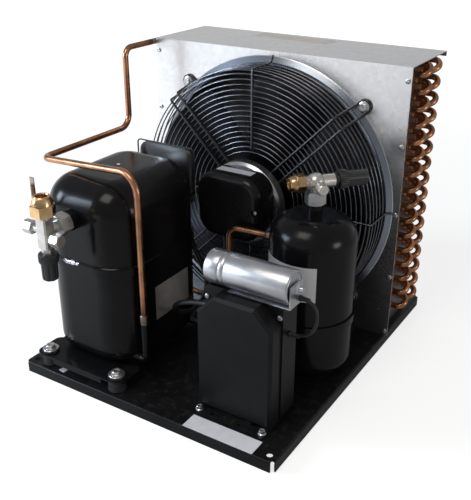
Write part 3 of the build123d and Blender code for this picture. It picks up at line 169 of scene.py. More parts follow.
# Base deck: 2 mm sheet steel, folded down on four sides with open corners and painted
# semi-gloss black. The paint is dusty, and bare plates lie where labels belong.
def surface(
    name,
    colour,
    roughness,
    metallic=0.0,
    mottle=0.15,
    mottle_scale=30.0,
    grain=0.1,
    grain_scale=900.0,
    rough_spread=0.08,
    specular=0.5,
):
    """Material with a clouded colour, an uneven gloss and a fine grain, on Object coordinates."""
    material = bpy.data.materials.new(name)
    material.use_nodes = True
    tree = material.node_tree
    shader = tree.nodes["Principled BSDF"]
    shader.inputs["Metallic"].default_value = metallic
    shader.inputs["Specular IOR Level"].default_value = specular
    place = add_node(tree, "ShaderNodeTexCoord").outputs["Object"]
    cloud_look = {"Vector": place, "Scale": mottle_scale, "Detail": 5.0}
    cloud = add_node(tree, "ShaderNodeTexNoise", cloud_look).outputs["Fac"]
    tone = add_node(tree, "ShaderNodeValToRGB", {"Fac": cloud})
    for element, position, share in zip(tone.color_ramp.elements, (0.32, 0.68), (1 - mottle, 1 + mottle)):
        element.position = position
        element.color = [min(1.0, c * share) for c in colour] + [1]
    smoothest = max(0.02, roughness - rough_spread)
    roughest = min(1.0, roughness + rough_spread)
    gloss = ramp(tree, cloud, 0, 1, smoothest, roughest, smooth=False)
    fine_look = {"Vector": place, "Scale": grain_scale, "Detail": 3.0}
    fine = add_node(tree, "ShaderNodeTexNoise", fine_look).outputs["Fac"]
    relief_look = {"Strength": grain, "Distance": 0.0004, "Height": fine}
    relief = add_node(tree, "ShaderNodeBump", relief_look)
    tree.links.new(tone.outputs["Color"], shader.inputs["Base Color"])
    tree.links.new(gloss, shader.inputs["Roughness"])
    tree.links.new(relief.outputs["Normal"], shader.inputs["Normal"])
    return material


def object_place(material):
    """The material's Object coordinates."""
    return next(n for n in material.node_tree.nodes if n.type == "TEX_COORD").outputs["Object"]


def tint_by(material, share, colour):
    """Turns the material's colour into another one by the given share."""
    tree = material.node_tree
    base = tree.nodes["Principled BSDF"].inputs["Base Color"]
    colours = {"Fac": share, "Color1": base.links[0].from_socket, "Color2": colour}
    tree.links.new(add_node(tree, "ShaderNodeMixRGB", colours).outputs["Color"], base)


DUST = (0.22, 0.21, 0.20, 1)


def paint(name, colour, roughness, dust, dust_scale=60.0, orange_peel=0.12, peel_scale=300.0, specular=0.5):
    """Black paint with fine orange peel and pale dust that gathers on upward faces."""
    peel = {"grain": orange_peel, "grain_scale": peel_scale, "specular": specular}
    material = surface(name, colour, roughness, mottle=0.25, mottle_scale=25, **peel)
    tree = material.node_tree
    speck_look = {"Vector": object_place(material), "Scale": dust_scale, "Detail": 9.0, "Roughness": 0.7}
    specks = add_node(tree, "ShaderNodeTexNoise", speck_look).outputs["Fac"]
    normal = add_node(tree, "ShaderNodeNewGeometry").outputs["Normal"]
    up = add_node(tree, "ShaderNodeSeparateXYZ", {"Vector": normal}).outputs["Z"]
    lying = ramp(tree, up, 0.2, 0.95, smooth=False)
    dusty = ramp(tree, specks, 0.52, 0.74, 0.0, dust, smooth=False)
    tint_by(material, combine(tree, "MULTIPLY", dusty, lying), DUST)
    return material


def coat_cad(material, *nodes):
    """Gives CAD nodes their finished material."""
    for node in nodes:
        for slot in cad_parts[node].material_slots:
            slot.material = material


def deselect():
    """Leaves edit mode with nothing selected."""
    if bpy.context.mode != "OBJECT":
        bpy.ops.object.mode_set(mode="OBJECT")
    bpy.ops.object.select_all(action="DESELECT")


def edit_all():
    """Enters edit mode on the active piece with all of its mesh selected."""
    bpy.ops.object.mode_set(mode="EDIT")
    bpy.ops.mesh.select_all(action="SELECT")


def finish_mesh(piece, smooth=35):
    """Merges doubles, turns faces outwards and smooths edges below the given angle."""
    deselect()
    piece.select_set(True)
    bpy.context.view_layer.objects.active = piece
    edit_all()
    bpy.ops.mesh.remove_doubles(threshold=0.00001)
    bpy.ops.mesh.normals_make_consistent(inside=False)
    bpy.ops.object.mode_set(mode="OBJECT")
    bpy.ops.object.shade_smooth_by_angle(angle=math.radians(smooth))
    deselect()
    return piece


def moved(piece, place):
    """The piece with its mesh moved to its place."""
    piece.data.transform(place)
    return piece


def settle(piece, material, body="unit", *nodes):
    """Gives a finished piece its material and body, and lets it stand for its CAD nodes."""
    piece.data.materials.clear()
    piece.data.materials.append(material)
    if nodes:
        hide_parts(*nodes)
    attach(piece, body)
    return piece


def at(x, y, z):
    """Matrix that moves to a point."""
    return Matrix.Translation((x, y, z))


def turned(degrees, axis):
    """Matrix that turns about an axis through the origin."""
    return Matrix.Rotation(math.radians(degrees), 4, axis)


def bare_plate(name, width, height, corner, place, thickness=0.0003):
    """Thin blank label with rounded corners, laid at its place with its face along +Z."""
    deselect()
    bpy.ops.mesh.primitive_plane_add(size=1)
    plate = bpy.context.object
    plate.name = name
    plate.scale = (width, height, 1)
    bpy.ops.object.transform_apply()
    edit_all()
    bpy.ops.mesh.bevel(offset=corner, segments=4, affect="VERTICES")
    bpy.ops.mesh.extrude_region_move(TRANSFORM_OT_translate={"value": (0, 0, thickness)})
    return moved(finish_mesh(plate, 40), place)


deck_peel = {"dust": 0.14, "dust_scale": 70, "orange_peel": 0.3, "peel_scale": 420, "specular": 0.22}
deck_paint = paint("deck_paint", (0.008, 0.008, 0.0085), 0.34, **deck_peel)
coat_cad(deck_paint, "base_plate", "box_bracket")
label_white = surface("label_white", (0.80, 0.80, 0.83), 0.45, mottle=0.05, mottle_scale=60)
deck_label = bare_plate("deck_label", 0.110, 0.028, 0.001, at(0.132, -0.2475, 0.0001))
settle(deck_label, label_white)
deck_tag = bare_plate("deck_tag", 0.011, 0.010, 0.0008, at(-0.1518, -0.2500, 0.0001) @ turned(-8, "Z"))
settle(deck_tag, label_white)


# Fan shroud: one 1.2 mm galvanised sheet, folded over the top, with the inlet ring
# pressed into its front. Pan-head sheet-metal screws hold it to the coil's end plates.
SHROUD_FRONT = 0.102
SHROUD_TOP = 0.434
SCREW_X = 0.2185
SCREW_LEVELS = (0.008, 0.106, 0.211, 0.318, 0.414)
# Darker bluish tint for the inlet ring: a painted reflection.
COLLAR_PAINTED_REFLECTION = (0.27, 0.30, 0.35, 1)


def galvanised(name, colour, spangle_scale, roughness=0.40):
    """Zinc-coated sheet: cells of slightly different tone and gloss over fine mottling."""
    zinc = {"metallic": 0.97, "mottle": 0.07, "mottle_scale": 9, "grain": 0.06, "grain_scale": 500}
    material = surface(name, colour, roughness, **zinc)
    tree = material.node_tree
    base = tree.nodes["Principled BSDF"].inputs["Base Color"]
    cell_look = {"Vector": object_place(material), "Scale": spangle_scale}
    cells = add_node(tree, "ShaderNodeTexVoronoi", cell_look).outputs["Color"]
    grey = add_node(tree, "ShaderNodeRGBToBW", {"Color": cells}).outputs["Val"]
    shade = ramp(tree, grey, 0, 1, 0.93, 1.05, smooth=False)
    shaded = {0: base.links[0].from_socket, "Scale": shade}
    blend = add_node(tree, "ShaderNodeVectorMath", shaded, operation="SCALE")
    tree.links.new(blend.outputs["Vector"], base)
    return material


def cut(piece, tool, operation="DIFFERENCE"):
    """Boolean of the piece with a tool, which is then dropped."""
    deselect()
    piece.select_set(True)
    bpy.context.view_layer.objects.active = piece
    carve = piece.modifiers.new("carve", "BOOLEAN")
    carve.operation = operation
    carve.solver = "EXACT"
    carve.object = tool
    bpy.ops.object.modifier_apply(modifier="carve")
    bpy.data.objects.remove(tool)
    return piece


def bar(name, low, high):
    """Block between two corners."""
    deselect()
    bpy.ops.mesh.primitive_cube_add(size=1, location=[(a + b) / 2 for a, b in zip(low, high)])
    piece = bpy.context.object
    piece.name = name
    piece.scale = [b - a for a, b in zip(low, high)]
    bpy.ops.object.transform_apply()
    return piece


def lathe(name, profile, sides=32, smooth=35):
    """Turned piece about Z: a filled circle drawn up through (radius, height) steps."""
    deselect()
    radius, height = profile[0]
    bpy.ops.mesh.primitive_circle_add(
        vertices=sides, radius=radius, fill_type="NGON", location=(0, 0, height)
    )
    piece = bpy.context.object
    piece.name = name
    bpy.ops.object.transform_apply()
    edit_all()
    for r, z in profile[1:]:
        bpy.ops.mesh.extrude_region_move(TRANSFORM_OT_translate={"value": (0, 0, z - height)})
        bpy.ops.transform.resize(value=(r / radius, r / radius, 1), center_override=(0, 0, z))
        radius, height = r, z
    return finish_mesh(piece, smooth)


def join_pieces(name, pieces):
    """Joins finished pieces into one object."""
    deselect()
    for piece in pieces:
        piece.select_set(True)
    bpy.context.view_layer.objects.active = pieces[0]
    if len(pieces) > 1:
        bpy.ops.object.join()
    pieces[0].name = name
    deselect()
    return pieces[0]


def copies(model, places, name):
    """Copies the model's mesh to every place, joins the copies and drops the model."""
    made = []
    for place in places:
        piece = bpy.data.objects.new(name, model.data.copy())
        bpy.context.scene.collection.objects.link(piece)
        made.append(moved(piece, place))
    bpy.data.objects.remove(model)
    return join_pieces(name, made)


def pan_screw(name, radius, height, shank_r, shank):
    """Pan-head screw with a cross recess, seat at z = 0 and head up."""
    crown = [(1, 0), (1, 0.35), (0.93, 0.7), (0.72, 0.93), (0.35, 1)]
    profile = [(shank_r, -shank), (shank_r, 0)] + [(radius * r, height * z) for r, z in crown]
    head = lathe(name, profile, 28, 30)
    arm, width = radius * 0.55, radius * 0.17
    for a, b in ((arm, width), (width, arm)):
        cut(head, bar("cross_bit", (-a, -b, height * 0.45), (a, b, height * 2)))
    return finish_mesh(head, 30)


shroud_zinc = galvanised("shroud_zinc", (0.74, 0.74, 0.75), 150, 0.27)
# Where the inlet ring stands in front of the panel it gets a darker bluish tint, a painted reflection.
depth = add_node(shroud_zinc.node_tree, "ShaderNodeSeparateXYZ", {"Vector": object_place(shroud_zinc)})
ring_edge = SHROUD_FRONT - 0.0008
panel_edge = SHROUD_FRONT - 0.0001
painted_reflection_share = ramp(shroud_zinc.node_tree, depth.outputs["Y"], ring_edge, panel_edge, 1.0, 0.0, smooth=False)
tint_by(shroud_zinc, painted_reflection_share, COLLAR_PAINTED_REFLECTION)
coat_cad(shroud_zinc, "shroud")
screw_zinc = surface("screw_zinc", (0.60, 0.60, 0.58), 0.28, 1.0, mottle_scale=200)
TO_FRONT = turned(90, "X")
screw_places = []
for side in (-1, 1):
    for k, z in enumerate(SCREW_LEVELS):
        screw_places.append(at(side * SCREW_X, SHROUD_FRONT, z) @ TO_FRONT @ Matrix.Rotation(0.4 * k, 4, "Z"))
sheet_screw = pan_screw("sheet_screw", 0.0039, 0.0020, 0.0019, 0.0020)
settle(copies(sheet_screw, screw_places, "sheet_screws"), screw_zinc, "unit", "shroud_screws")
label_paper = surface("label_paper", (0.72, 0.68, 0.63), 0.6, mottle=0.10, mottle_scale=55, grain=0.15)
top_place = at(-0.026, 0.216, SHROUD_TOP - 0.00005) @ turned(-3, "Z")
settle(bare_plate("top_label", 0.140, 0.040, 0.0012, top_place, 0.00025), label_paper)


# Condenser coil: folded end plates, thin pressed aluminium fins coloured dark as painted
# shade, and copper tube hairpins joined by brazed return bends on both ends.
TUBE_R = 0.00475
ROW_PITCH = 0.01905
ROW_DROP = 0.0127
LEVEL_PITCH = 0.0254
LEVELS = 16
FIRST_ROW_Y = 0.147
FIRST_LEVEL_Z = 0.0336
END_PLATE_X = 0.2082
BEND_R = math.hypot(ROW_PITCH, ROW_DROP) / 2
BEND_LEG = 0.011
FIN_PITCH = 0.0022
FIN_SHEET = 0.00030
CORRUGATION = 0.0047
CORRUGATION_HEIGHT = 0.00045


def bend_tube(name, radius, sides, start, aim, moves):
    """Tube drawn from its start by straight runs and turns about a centre, closed at both ends."""
    deselect()
    facing = Vector(aim).to_track_quat("Z", "X").to_euler()
    bpy.ops.mesh.primitive_circle_add(
        vertices=sides, radius=radius, fill_type="NGON", location=start, rotation=facing
    )
    piece = bpy.context.object
    piece.name = name
    bpy.ops.object.transform_apply()
    edit_all()
    for kind, *move in moves:
        if kind == "run":
            bpy.ops.mesh.extrude_region_move(TRANSFORM_OT_translate={"value": move[0]})
        else:
            degrees, centre, axis, steps = move
            bpy.ops.mesh.spin(steps=steps, angle=-math.radians(degrees), center=centre, axis=axis)
    return finish_mesh(piece, 60)


# The end plates' dark brown colour is painted shade, not the zinc's own tone.
coat_cad(galvanised("end_plate_painted_shade", (0.20, 0.19, 0.185), 90), "tube_sheet_left", "tube_sheet_right")
drawn_copper = {"mottle": 0.35, "mottle_scale": 38, "grain": 0.08, "rough_spread": 0.12}
copper = surface("copper", (0.50, 0.245, 0.130), 0.30, 1.0, **drawn_copper)
coat_cad(copper, "condenser_tubes")

bend_moves = [
    ("run", (BEND_LEG, 0, 0)),
    ("turn", 180, (BEND_LEG, BEND_R, 0), (0, 0, 1), 12),
    ("run", (-BEND_LEG, 0, 0)),
]
bend_pieces = [bend_tube("hairpin", TUBE_R, 14, (0, 0, 0), (1, 0, 0), bend_moves)]
for y in (0, 2 * BEND_R):
    collar = lathe("braze_collar", [(0.0062, 0), (0.0061, 0.0012), (0.0053, 0.0024), (0.0049, 0.0034)], 14)
    bend_pieces.append(moved(collar, at(0, y, 0) @ turned(90, "Y")))
hairpin = join_pieces("hairpin", bend_pieces)
hairpin_left = hairpin.copy()
hairpin_left.data = hairpin.data.copy()
bpy.context.scene.collection.objects.link(hairpin_left)
right_places, left_places = [], []
for pair in (0, 2):
    for level in range(LEVELS):
        place = at(END_PLATE_X, FIRST_ROW_Y + pair * ROW_PITCH, FIRST_LEVEL_Z + level * LEVEL_PITCH)
        right_places.append(place @ Matrix.Rotation(math.atan2(ROW_DROP, ROW_PITCH), 4, "X"))
    for level in range(LEVELS - 1):
        z = FIRST_LEVEL_Z + ROW_DROP + level * LEVEL_PITCH
        place = at(END_PLATE_X, FIRST_ROW_Y + (pair + 1) * ROW_PITCH, z)
        lean = Matrix.Rotation(math.atan2(ROW_DROP, -ROW_PITCH), 4, "X")
        left_places.append(Matrix.Scale(-1, 4, (1, 0, 0)) @ place @ lean)
for model, places, node in (
    (hairpin, right_places, "return_bends_right"),
    (hairpin_left, left_places, "return_bends_left"),
):
    settle(finish_mesh(copies(model, places, node + "_copper"), 50), copper, "unit", node)

fin_low, fin_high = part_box("fin_pack")
fin_middle = [(low + high) / 2 for low, high in zip(fin_low, fin_high)]
deselect()
bpy.ops.mesh.primitive_plane_add(size=1, location=(0, 0, 0), rotation=(0, math.radians(90), 0))
fin = bpy.context.object
fin.scale = (fin_high[2] - fin_low[2], fin_high[1] - fin_low[1], 1)
bpy.ops.object.transform_apply()
bpy.ops.object.mode_set(mode="EDIT")
for step in range(-7, 8):
    bpy.ops.mesh.select_all(action="SELECT")
    bpy.ops.mesh.bisect(plane_co=(0, step * CORRUGATION, 0), plane_no=(0, 1, 0))
bpy.ops.object.mode_set(mode="OBJECT")
for vertex in fin.data.vertices:
    odd = round(vertex.co.y / CORRUGATION) % 2
    vertex.co.x += CORRUGATION_HEIGHT if odd else -CORRUGATION_HEIGHT
sheet = fin.modifiers.new("sheet", "SOLIDIFY")
sheet.thickness = FIN_SHEET
sheet.offset = 0
bpy.ops.object.modifier_apply(modifier="sheet")
fin_gaps = int((fin_high[0] - fin_low[0] - 0.002) / FIN_PITCH)
fin_places = [at((i - fin_gaps / 2) * FIN_PITCH, fin_middle[1], fin_middle[2]) for i in range(fin_gaps + 1)]
# The fins' dark grey colour is painted shade; the aluminium itself is brighter.
fin_metal_painted_shade = surface("fin_metal_painted_shade", (0.20, 0.20, 0.205), 0.5, 0.75, mottle=0.3, mottle_scale=20, grain=0.05)
settle(copies(fin, fin_places, "coil_fins"), fin_metal_painted_shade, "unit", "fin_pack")


# Fan: five pressed sheet blades on a hub, dark and mottled, on the motor's shaft,
# turning inside the inlet ring.
blade_sheet = surface(
    "blade_sheet", (0.022, 0.024, 0.032), 0.30, 0.8, mottle=0.3, mottle_scale=25, grain=0.08
)
coat_cad(blade_sheet, "fan_blades")
bare_steel = surface("bare_steel", (0.48, 0.48, 0.50), 0.34, 1.0, mottle_scale=90, grain=0.08)
coat_cad(bare_steel, "fan_motor_shaft", "fan_rotor", "fan_motor_stator")


# Fan guard: welded wire cage in glossy dark coating. Rings lie flat in front and stack
# along the side; four single radials run back to feet on the panel.
FAN_Z = 0.213
GUARD_R = 0.202
GUARD_FRONT_Y = 0.0436
RING_WIRE_R = 0.0011
RADIAL_WIRE_R = 0.0014
FACE_RINGS = [(0.076 + i * 0.008, GUARD_FRONT_Y) for i in range(16)]
SIDE_RINGS = [(GUARD_R, GUARD_FRONT_Y + i * 0.012) for i in range(5)]
ROUND_FAN = [at(0, 0, FAN_Z) @ turned(90 * quarter, "Y") for quarter in range(4)]
ALONG_Z = (0, 0, 1)

guard_parts = []
for radius, y in FACE_RINGS + SIDE_RINGS:
    deselect()
    bpy.ops.mesh.primitive_torus_add(
        major_radius=radius,
        minor_radius=RING_WIRE_R,
        major_segments=96,
        minor_segments=8,
        location=(0, y, FAN_Z),
        rotation=(math.radians(90), 0, 0),
    )
    bpy.ops.object.transform_apply()
    guard_parts.append(bpy.context.object)
radial_moves = [
    ("run", (0.1185, 0, 0)),
    ("turn", 90, (0.2005, 0.0451, 0), ALONG_Z, 5),
    ("run", (0, 0.0475, 0)),
    ("turn", -90, (0.2075, 0.0926, 0), ALONG_Z, 4),
    ("run", (0.0075, 0.0044, 0)),
]
radial = bend_tube("guard_radial", RADIAL_WIRE_R, 10, (0.082, 0.0411, 0), (1, 0, 0), radial_moves)
guard_parts.append(copies(radial, ROUND_FAN, "guard_radials"))
guard_coating = surface(
    "guard_coating", (0.17, 0.175, 0.19), 0.20, 1.0, mottle=0.25, mottle_scale=80, grain=0.06
)
guard = join_pieces("guard_wires", guard_parts)
settle(finish_mesh(guard, 60), guard_coating, "unit", "fan_guard")


# Guard arms: each is one stout black rod, bent from the motor's shield to a loop round
# its bolt and back. Flange bolts hold the loops to the panel.
ARM_ROD_R = 0.0020
ARM_HALF = 0.0095
ARM_START_X = 0.054
ARM_FRONT_Y = 0.0405
ARM_BEND_X = 0.20084
ARM_BEND_R = 0.005
ARM_EYE_R = 0.222
ARM_EYE_Y = 0.0997
LOOP_X = 0.22016
SLANT = math.atan2(59.2, 11.0)
SLANT_RUN = (0.00948, 0.05102)


def arm_side(z, way):
    """Moves of one half of the arm, outwards for way 1 and back for way -1."""
    reach = ARM_BEND_X - ARM_START_X
    moves = [
        ("run", (way * reach, 0, 0)),
        ("turn", way * math.degrees(SLANT), (ARM_BEND_X, ARM_FRONT_Y + ARM_BEND_R, z), ALONG_Z, 6),
        ("run", (way * SLANT_RUN[0], way * SLANT_RUN[1], 0)),
        ("turn", -way * math.degrees(SLANT), (LOOP_X, ARM_EYE_Y - ARM_BEND_R, z), ALONG_Z, 6),
        ("run", (way * (ARM_EYE_R - LOOP_X), 0, 0)),
    ]
    return moves[::way]


def hexagon(name, flats, z0, z1, crown=0.0012, base=0.0, turn=0.0):
    """Hexagonal bar about Z, its corners turned off round the crown and, if asked, the base."""
    deselect()
    corner = flats / math.sqrt(3)
    middle = (0, 0, (z0 + z1) / 2)
    bpy.ops.mesh.primitive_cylinder_add(vertices=6, radius=corner, depth=z1 - z0, location=middle)
    piece = bpy.context.object
    piece.name = name
    piece.rotation_euler = (0, 0, turn)
    bpy.ops.object.transform_apply()
    outer, inner = corner * 1.01, flats * 0.485
    profile = [(inner if base else outer, z0 - 0.00001)]
    if base:
        profile.append((outer, z0 + base))
    profile += [(outer, z1 - crown), (inner, z1 + 0.00001)]
    cut(piece, lathe("turning", profile, 48), "INTERSECT")
    return finish_mesh(piece, 20)


def flange_bolt(name, flats, flange_r, shank_r, shank):
    """Flange bolt: bevelled flange and hexagon head with a shallow dish, seat at z = 0."""
    steps = [(shank_r, -shank), (shank_r, 0), (flange_r, 0), (flange_r, 0.0008), (flange_r * 0.72, 0.0020)]
    flange = lathe(name, steps, 36)
    head = hexagon("head", flats, 0.0010, 0.0060, 0.0009)
    cut(head, lathe("dish", [(0.0001, 0.0050), (flats * 0.30, 0.0054), (flats * 0.36, 0.0070)], 24))
    return join_pieces(name, [flange, finish_mesh(head, 20)])


loop = ("turn", -180, (ARM_EYE_R, ARM_EYE_Y, 0), (0, 1, 0), 14)
arm_moves = arm_side(-ARM_HALF, 1) + [loop] + arm_side(ARM_HALF, -1)
arm = bend_tube("arm_rod", ARM_ROD_R, 12, (ARM_START_X, ARM_FRONT_Y, -ARM_HALF), (1, 0, 0), arm_moves)
arms = copies(arm, [place @ turned(45, "Y") for place in ROUND_FAN], "arm_rods")
arm_coating = surface(
    "arm_coating", (0.012, 0.012, 0.013), 0.26, mottle=0.3, mottle_scale=80, specular=0.6
)
settle(finish_mesh(arms, 60), arm_coating, "unit", "guard_arms")

BRACKET_X = 0.128
eye = ARM_EYE_R * math.sqrt(0.5)
arm_bolt_places = []
for sx in (-1, 1):
    for sz in (-1, 1):
        place = at(sx * eye, ARM_EYE_Y - ARM_ROD_R, FAN_Z + sz * eye)
        arm_bolt_places.append(place @ TO_FRONT @ Matrix.Rotation(sx + 0.4 * sz, 4, "Z"))
bracket_places = []
for side in (-1, 1):
    place = at(BRACKET_X + side * 0.0504, -0.2205, 0.002)
    bracket_places.append(place @ Matrix.Rotation(side * 0.3, 4, "Z"))
arm_bolts = copies(flange_bolt("arm_bolt", 0.010, 0.0086, 0.0029, 0.0055), arm_bolt_places, "arm_bolts")
bracket_bolt = flange_bolt("bracket_bolt", 0.008, 0.0057, 0.0029, 0.0040)
bracket_bolts = copies(bracket_bolt, bracket_places, "bracket_bolts")
bolt_zinc = surface("bolt_zinc", (0.60, 0.60, 0.60), 0.30, 0.92, mottle=0.12, mottle_scale=160, grain=0.06)
settle(join_pieces("flange_bolt_set", [arm_bolts, bracket_bolts]), bolt_zinc, "unit", "flange_bolts")


# Fan motor: drawn cap in black enamel over the windings, seated on a spun aluminium
# end shield that the guard's arms clamp. A blank plate lies on its top.
cap_peel = {"dust": 0.03, "orange_peel": 0.22, "peel_scale": 420, "specular": 0.3}
coat_cad(paint("cap_enamel", (0.006, 0.006, 0.0065), 0.26, **cap_peel), "motor_cover")
spun_aluminium = surface("spun_aluminium", (0.60, 0.60, 0.61), 0.30, 1.0, mottle=0.12, mottle_scale=60)
coat_cad(spun_aluminium, "motor_shield")
label_foil = surface("label_foil", (0.62, 0.62, 0.64), 0.42, 0.2, 0.07, 40, grain=0.05, grain_scale=700)
settle(bare_plate("motor_label", 0.061, 0.016, 0.0008, at(-0.0005, -0.0020, 0.27195)), label_foil)


# Compressor: two drawn steel shells joined by a weld round the lip, in glossy black
# enamel, on pressed feet with rubber isolators, washers and hexagon bolts.
COMP_X = -0.117
COMP_Y = -0.1315
COMP_SIDE_X = -0.0385
COMP_TOP = 0.297
FEET = [at(COMP_X + sx * 0.065, COMP_Y + sy * 0.111, 0) for sx in (-1, 1) for sy in (-1, 1)]
SPRINGS = [at(COMP_X + sx * 0.046, COMP_Y + sy * 0.050, 0) for sx in (-1, 1) for sy in (-1, 1)]
SCUFF_PLACE = (-0.1300, -0.2330, 0.1800)
SCUFF_FLATNESS = 4.5
BARE_METAL = (0.75, 0.76, 0.80, 1)


def enamel_paint(name):
    """Glossy black enamel of the pressure vessels."""
    return paint(
        name, (0.006, 0.006, 0.0065), 0.20, dust=0.02, orange_peel=0.10, peel_scale=260, specular=0.22
    )


def scuffed_enamel():
    """The same enamel, flaked off to bare metal at the front of the weld."""
    material = enamel_paint("scuffed_enamel")
    tree = material.node_tree
    place = object_place(material)
    flat = {0: place, 1: (1.0, 1.0, SCUFF_FLATNESS)}
    flattened = add_node(tree, "ShaderNodeVectorMath", flat, operation="MULTIPLY").outputs["Vector"]
    centre = (SCUFF_PLACE[0], SCUFF_PLACE[1], SCUFF_PLACE[2] * SCUFF_FLATNESS)
    away = add_node(tree, "ShaderNodeVectorMath", {0: flattened, 1: centre}, operation="DISTANCE")
    reach = ramp(tree, away.outputs["Value"], 0.008, 0.038, 0.56, 0.0, smooth=False)
    flake_look = {"Vector": place, "Scale": 330.0, "Detail": 6.0}
    flakes = add_node(tree, "ShaderNodeTexNoise", flake_look).outputs["Fac"]
    bare = combine(tree, "LESS_THAN", flakes, reach)
    tint_by(material, bare, BARE_METAL)
    tree.links.new(bare, tree.nodes["Principled BSDF"].inputs["Metallic"])
    return material


def coil_spring(name, coil_r, wire_r, z0, z1, turns):
    """Compression spring: a wire circle screwed up its axis."""
    deselect()
    bpy.ops.mesh.primitive_circle_add(
        vertices=8, radius=wire_r, location=(coil_r, 0, z0 + wire_r), rotation=(math.radians(90), 0, 0)
    )
    piece = bpy.context.object
    piece.name = name
    bpy.ops.object.transform_apply()
    winding = piece.modifiers.new("winding", "SCREW")
    winding.angle = turns * 2 * math.pi
    winding.screw_offset = z1 - z0 - 2 * wire_r
    winding.steps = turns * 16
    winding.render_steps = turns * 16
    bpy.ops.object.modifier_apply(modifier="winding")
    bpy.ops.object.mode_set(mode="EDIT")
    bpy.ops.mesh.select_all(action="DESELECT")
    bpy.ops.mesh.select_mode(type="EDGE")
    bpy.ops.mesh.select_non_manifold()
    bpy.ops.mesh.edge_face_add()
    bpy.ops.mesh.select_mode(type="VERT")
    return finish_mesh(piece, 60)


enamel = enamel_paint("enamel")
coat_cad(enamel, "compressor_upper_shell", "compressor_feet")
coat_cad(scuffed_enamel(), "compressor_weld", "compressor_lower_shell")
# The compressor's foil label gets a flat dark grey as a painted dark reflection.
label_painted_dark_reflection = surface("label_painted_dark_reflection", (0.25, 0.235, 0.225), 0.45, mottle_scale=60)
side_place = at(COMP_SIDE_X, -0.1215, 0.1065) @ turned(90, "Z") @ turned(90, "X")
settle(bare_plate("compressor_label", 0.081, 0.054, 0.001, side_place), label_painted_dark_reflection)
dot = lathe("paint_dot", [(0.0026, 0), (0.0025, 0.0002), (0.0012, 0.0004)], 20)
settle(moved(dot, at(-0.1223, -0.1280, COMP_TOP - 0.00005)), label_white)

ISOLATOR_PROFILE = [
    (0.0060, 0.0001),
    (0.0130, 0.0001),
    (0.0140, 0.0012),
    (0.0137, 0.0060),
    (0.0133, 0.0090),
    (0.0138, 0.0120),
    (0.0138, 0.0165),
    (0.0130, 0.0177),
    (0.0095, 0.0177),
    (0.0095, 0.0213),
    (0.0128, 0.0213),
    (0.0130, 0.0222),
    (0.0124, 0.0238),
    (0.0060, 0.0240),
]
WASHER_PROFILE = [
    (0.0045, 0.0240),
    (0.0116, 0.0240),
    (0.0120, 0.0244),
    (0.0120, 0.0254),
    (0.0114, 0.0260),
    (0.0062, 0.0260),
]
FOOT_FLANGE_PROFILE = [
    (0.0040, -0.0019),
    (0.0040, 0.0258),
    (0.0086, 0.0260),
    (0.0086, 0.0266),
    (0.0066, 0.0275),
]
rubber = surface("rubber", (0.016, 0.016, 0.016), 0.55, mottle=0.3, mottle_scale=90, grain=0.3)
isolators = copies(lathe("isolator", ISOLATOR_PROFILE), FEET, "isolators")
settle(isolators, rubber, "unit", "compressor_grommets")
foot_head = hexagon("foot_head", 0.013, 0.0262, 0.0313, 0.0013)
cut(foot_head, lathe("foot_dish", [(0.0001, 0.0302), (0.0038, 0.0306), (0.0046, 0.0330)], 24))
foot_parts = [
    lathe("washer", WASHER_PROFILE, 36),
    finish_mesh(foot_head, 20),
    lathe("foot_flange", FOOT_FLANGE_PROFILE),
]
foot_bolt = join_pieces("foot_bolt", foot_parts)
bolt_places = [place @ Matrix.Rotation(0.5 + 9 * place.translation.x, 4, "Z") for place in FEET]
settle(copies(foot_bolt, bolt_places, "foot_bolts"), bolt_zinc, "unit", "compressor_bolts")

coat_cad(bare_steel, "compressor_stator", "compressor_rotor", "crankshaft", "piston", "connecting_rod")
coat_cad(surface("cast_iron", (0.12, 0.12, 0.125), 0.55, 0.8, mottle=0.2, grain=0.5), "cylinder_block")
springs = copies(coil_spring("spring", 0.00625, 0.00120, 0.024, 0.062, 7), SPRINGS, "springs")
settle(springs, bare_steel, "unit", "suspension_springs")


# Terminal cover: moulded black cap over the sealed pins, its front leaning back towards
# the top, held down by a black wire bail.
SLOPE_FROM_Z = 0.250
SLOPE = 0.22
COVER_FACE_Y = -0.0252

moulded_grain = {"mottle": 0.2, "mottle_scale": 50, "grain": 0.25, "grain_scale": 1300, "specular": 0.6}
moulding = surface("moulding", (0.011, 0.011, 0.012), 0.45, **moulded_grain)
coat_cad(bare_steel, "terminal_pins")
coat_cad(arm_coating, "terminal_bail")
terminal_lid = bpy.data.objects.new("terminal_lid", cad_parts["terminal_cover"].data.copy())
bpy.context.scene.collection.objects.link(terminal_lid)
finish_mesh(terminal_lid, 35)
for vertex in terminal_lid.data.vertices:
    if vertex.co.y < COVER_FACE_Y and vertex.co.z > SLOPE_FROM_Z:
        vertex.co.y += (vertex.co.z - SLOPE_FROM_Z) * SLOPE
settle(terminal_lid, moulding, "unit", "terminal_cover")


# Refrigerant lines: drawn copper tube, heat-tinted and silvered where it is brazed, on
# the compressor's black stub; the charging tube is pinched shut.
STUB_X = -0.028
STUB_Y = -0.2025
RECEIVER_PORT = (0.0869, -0.0396, 0.199)
HEAT_TINT = (0.10, 0.045, 0.035, 1)
BRAZE_TINT = (0.42, 0.37, 0.33, 1)


def tinted_copper(name, base, spots):
    """Copper with a dark heat tint and a silvery braze band round each (centre, band, reach) spot."""
    wear = {"mottle": 0.28, "mottle_scale": 38, "grain": 0.08, "rough_spread": 0.14}
    material = surface(name, base, 0.30, 1.0, **wear)
    tree = material.node_tree
    for centre, band, reach in spots:
        ends = {0: object_place(material), 1: centre}
        away = add_node(tree, "ShaderNodeVectorMath", ends, operation="DISTANCE").outputs["Value"]
        tint_by(material, ramp(tree, away, band, reach, 0.85, 0.0), HEAT_TINT)
        tint_by(material, ramp(tree, away, band * 0.7, band, 0.85, 0.0), BRAZE_TINT)
    return material


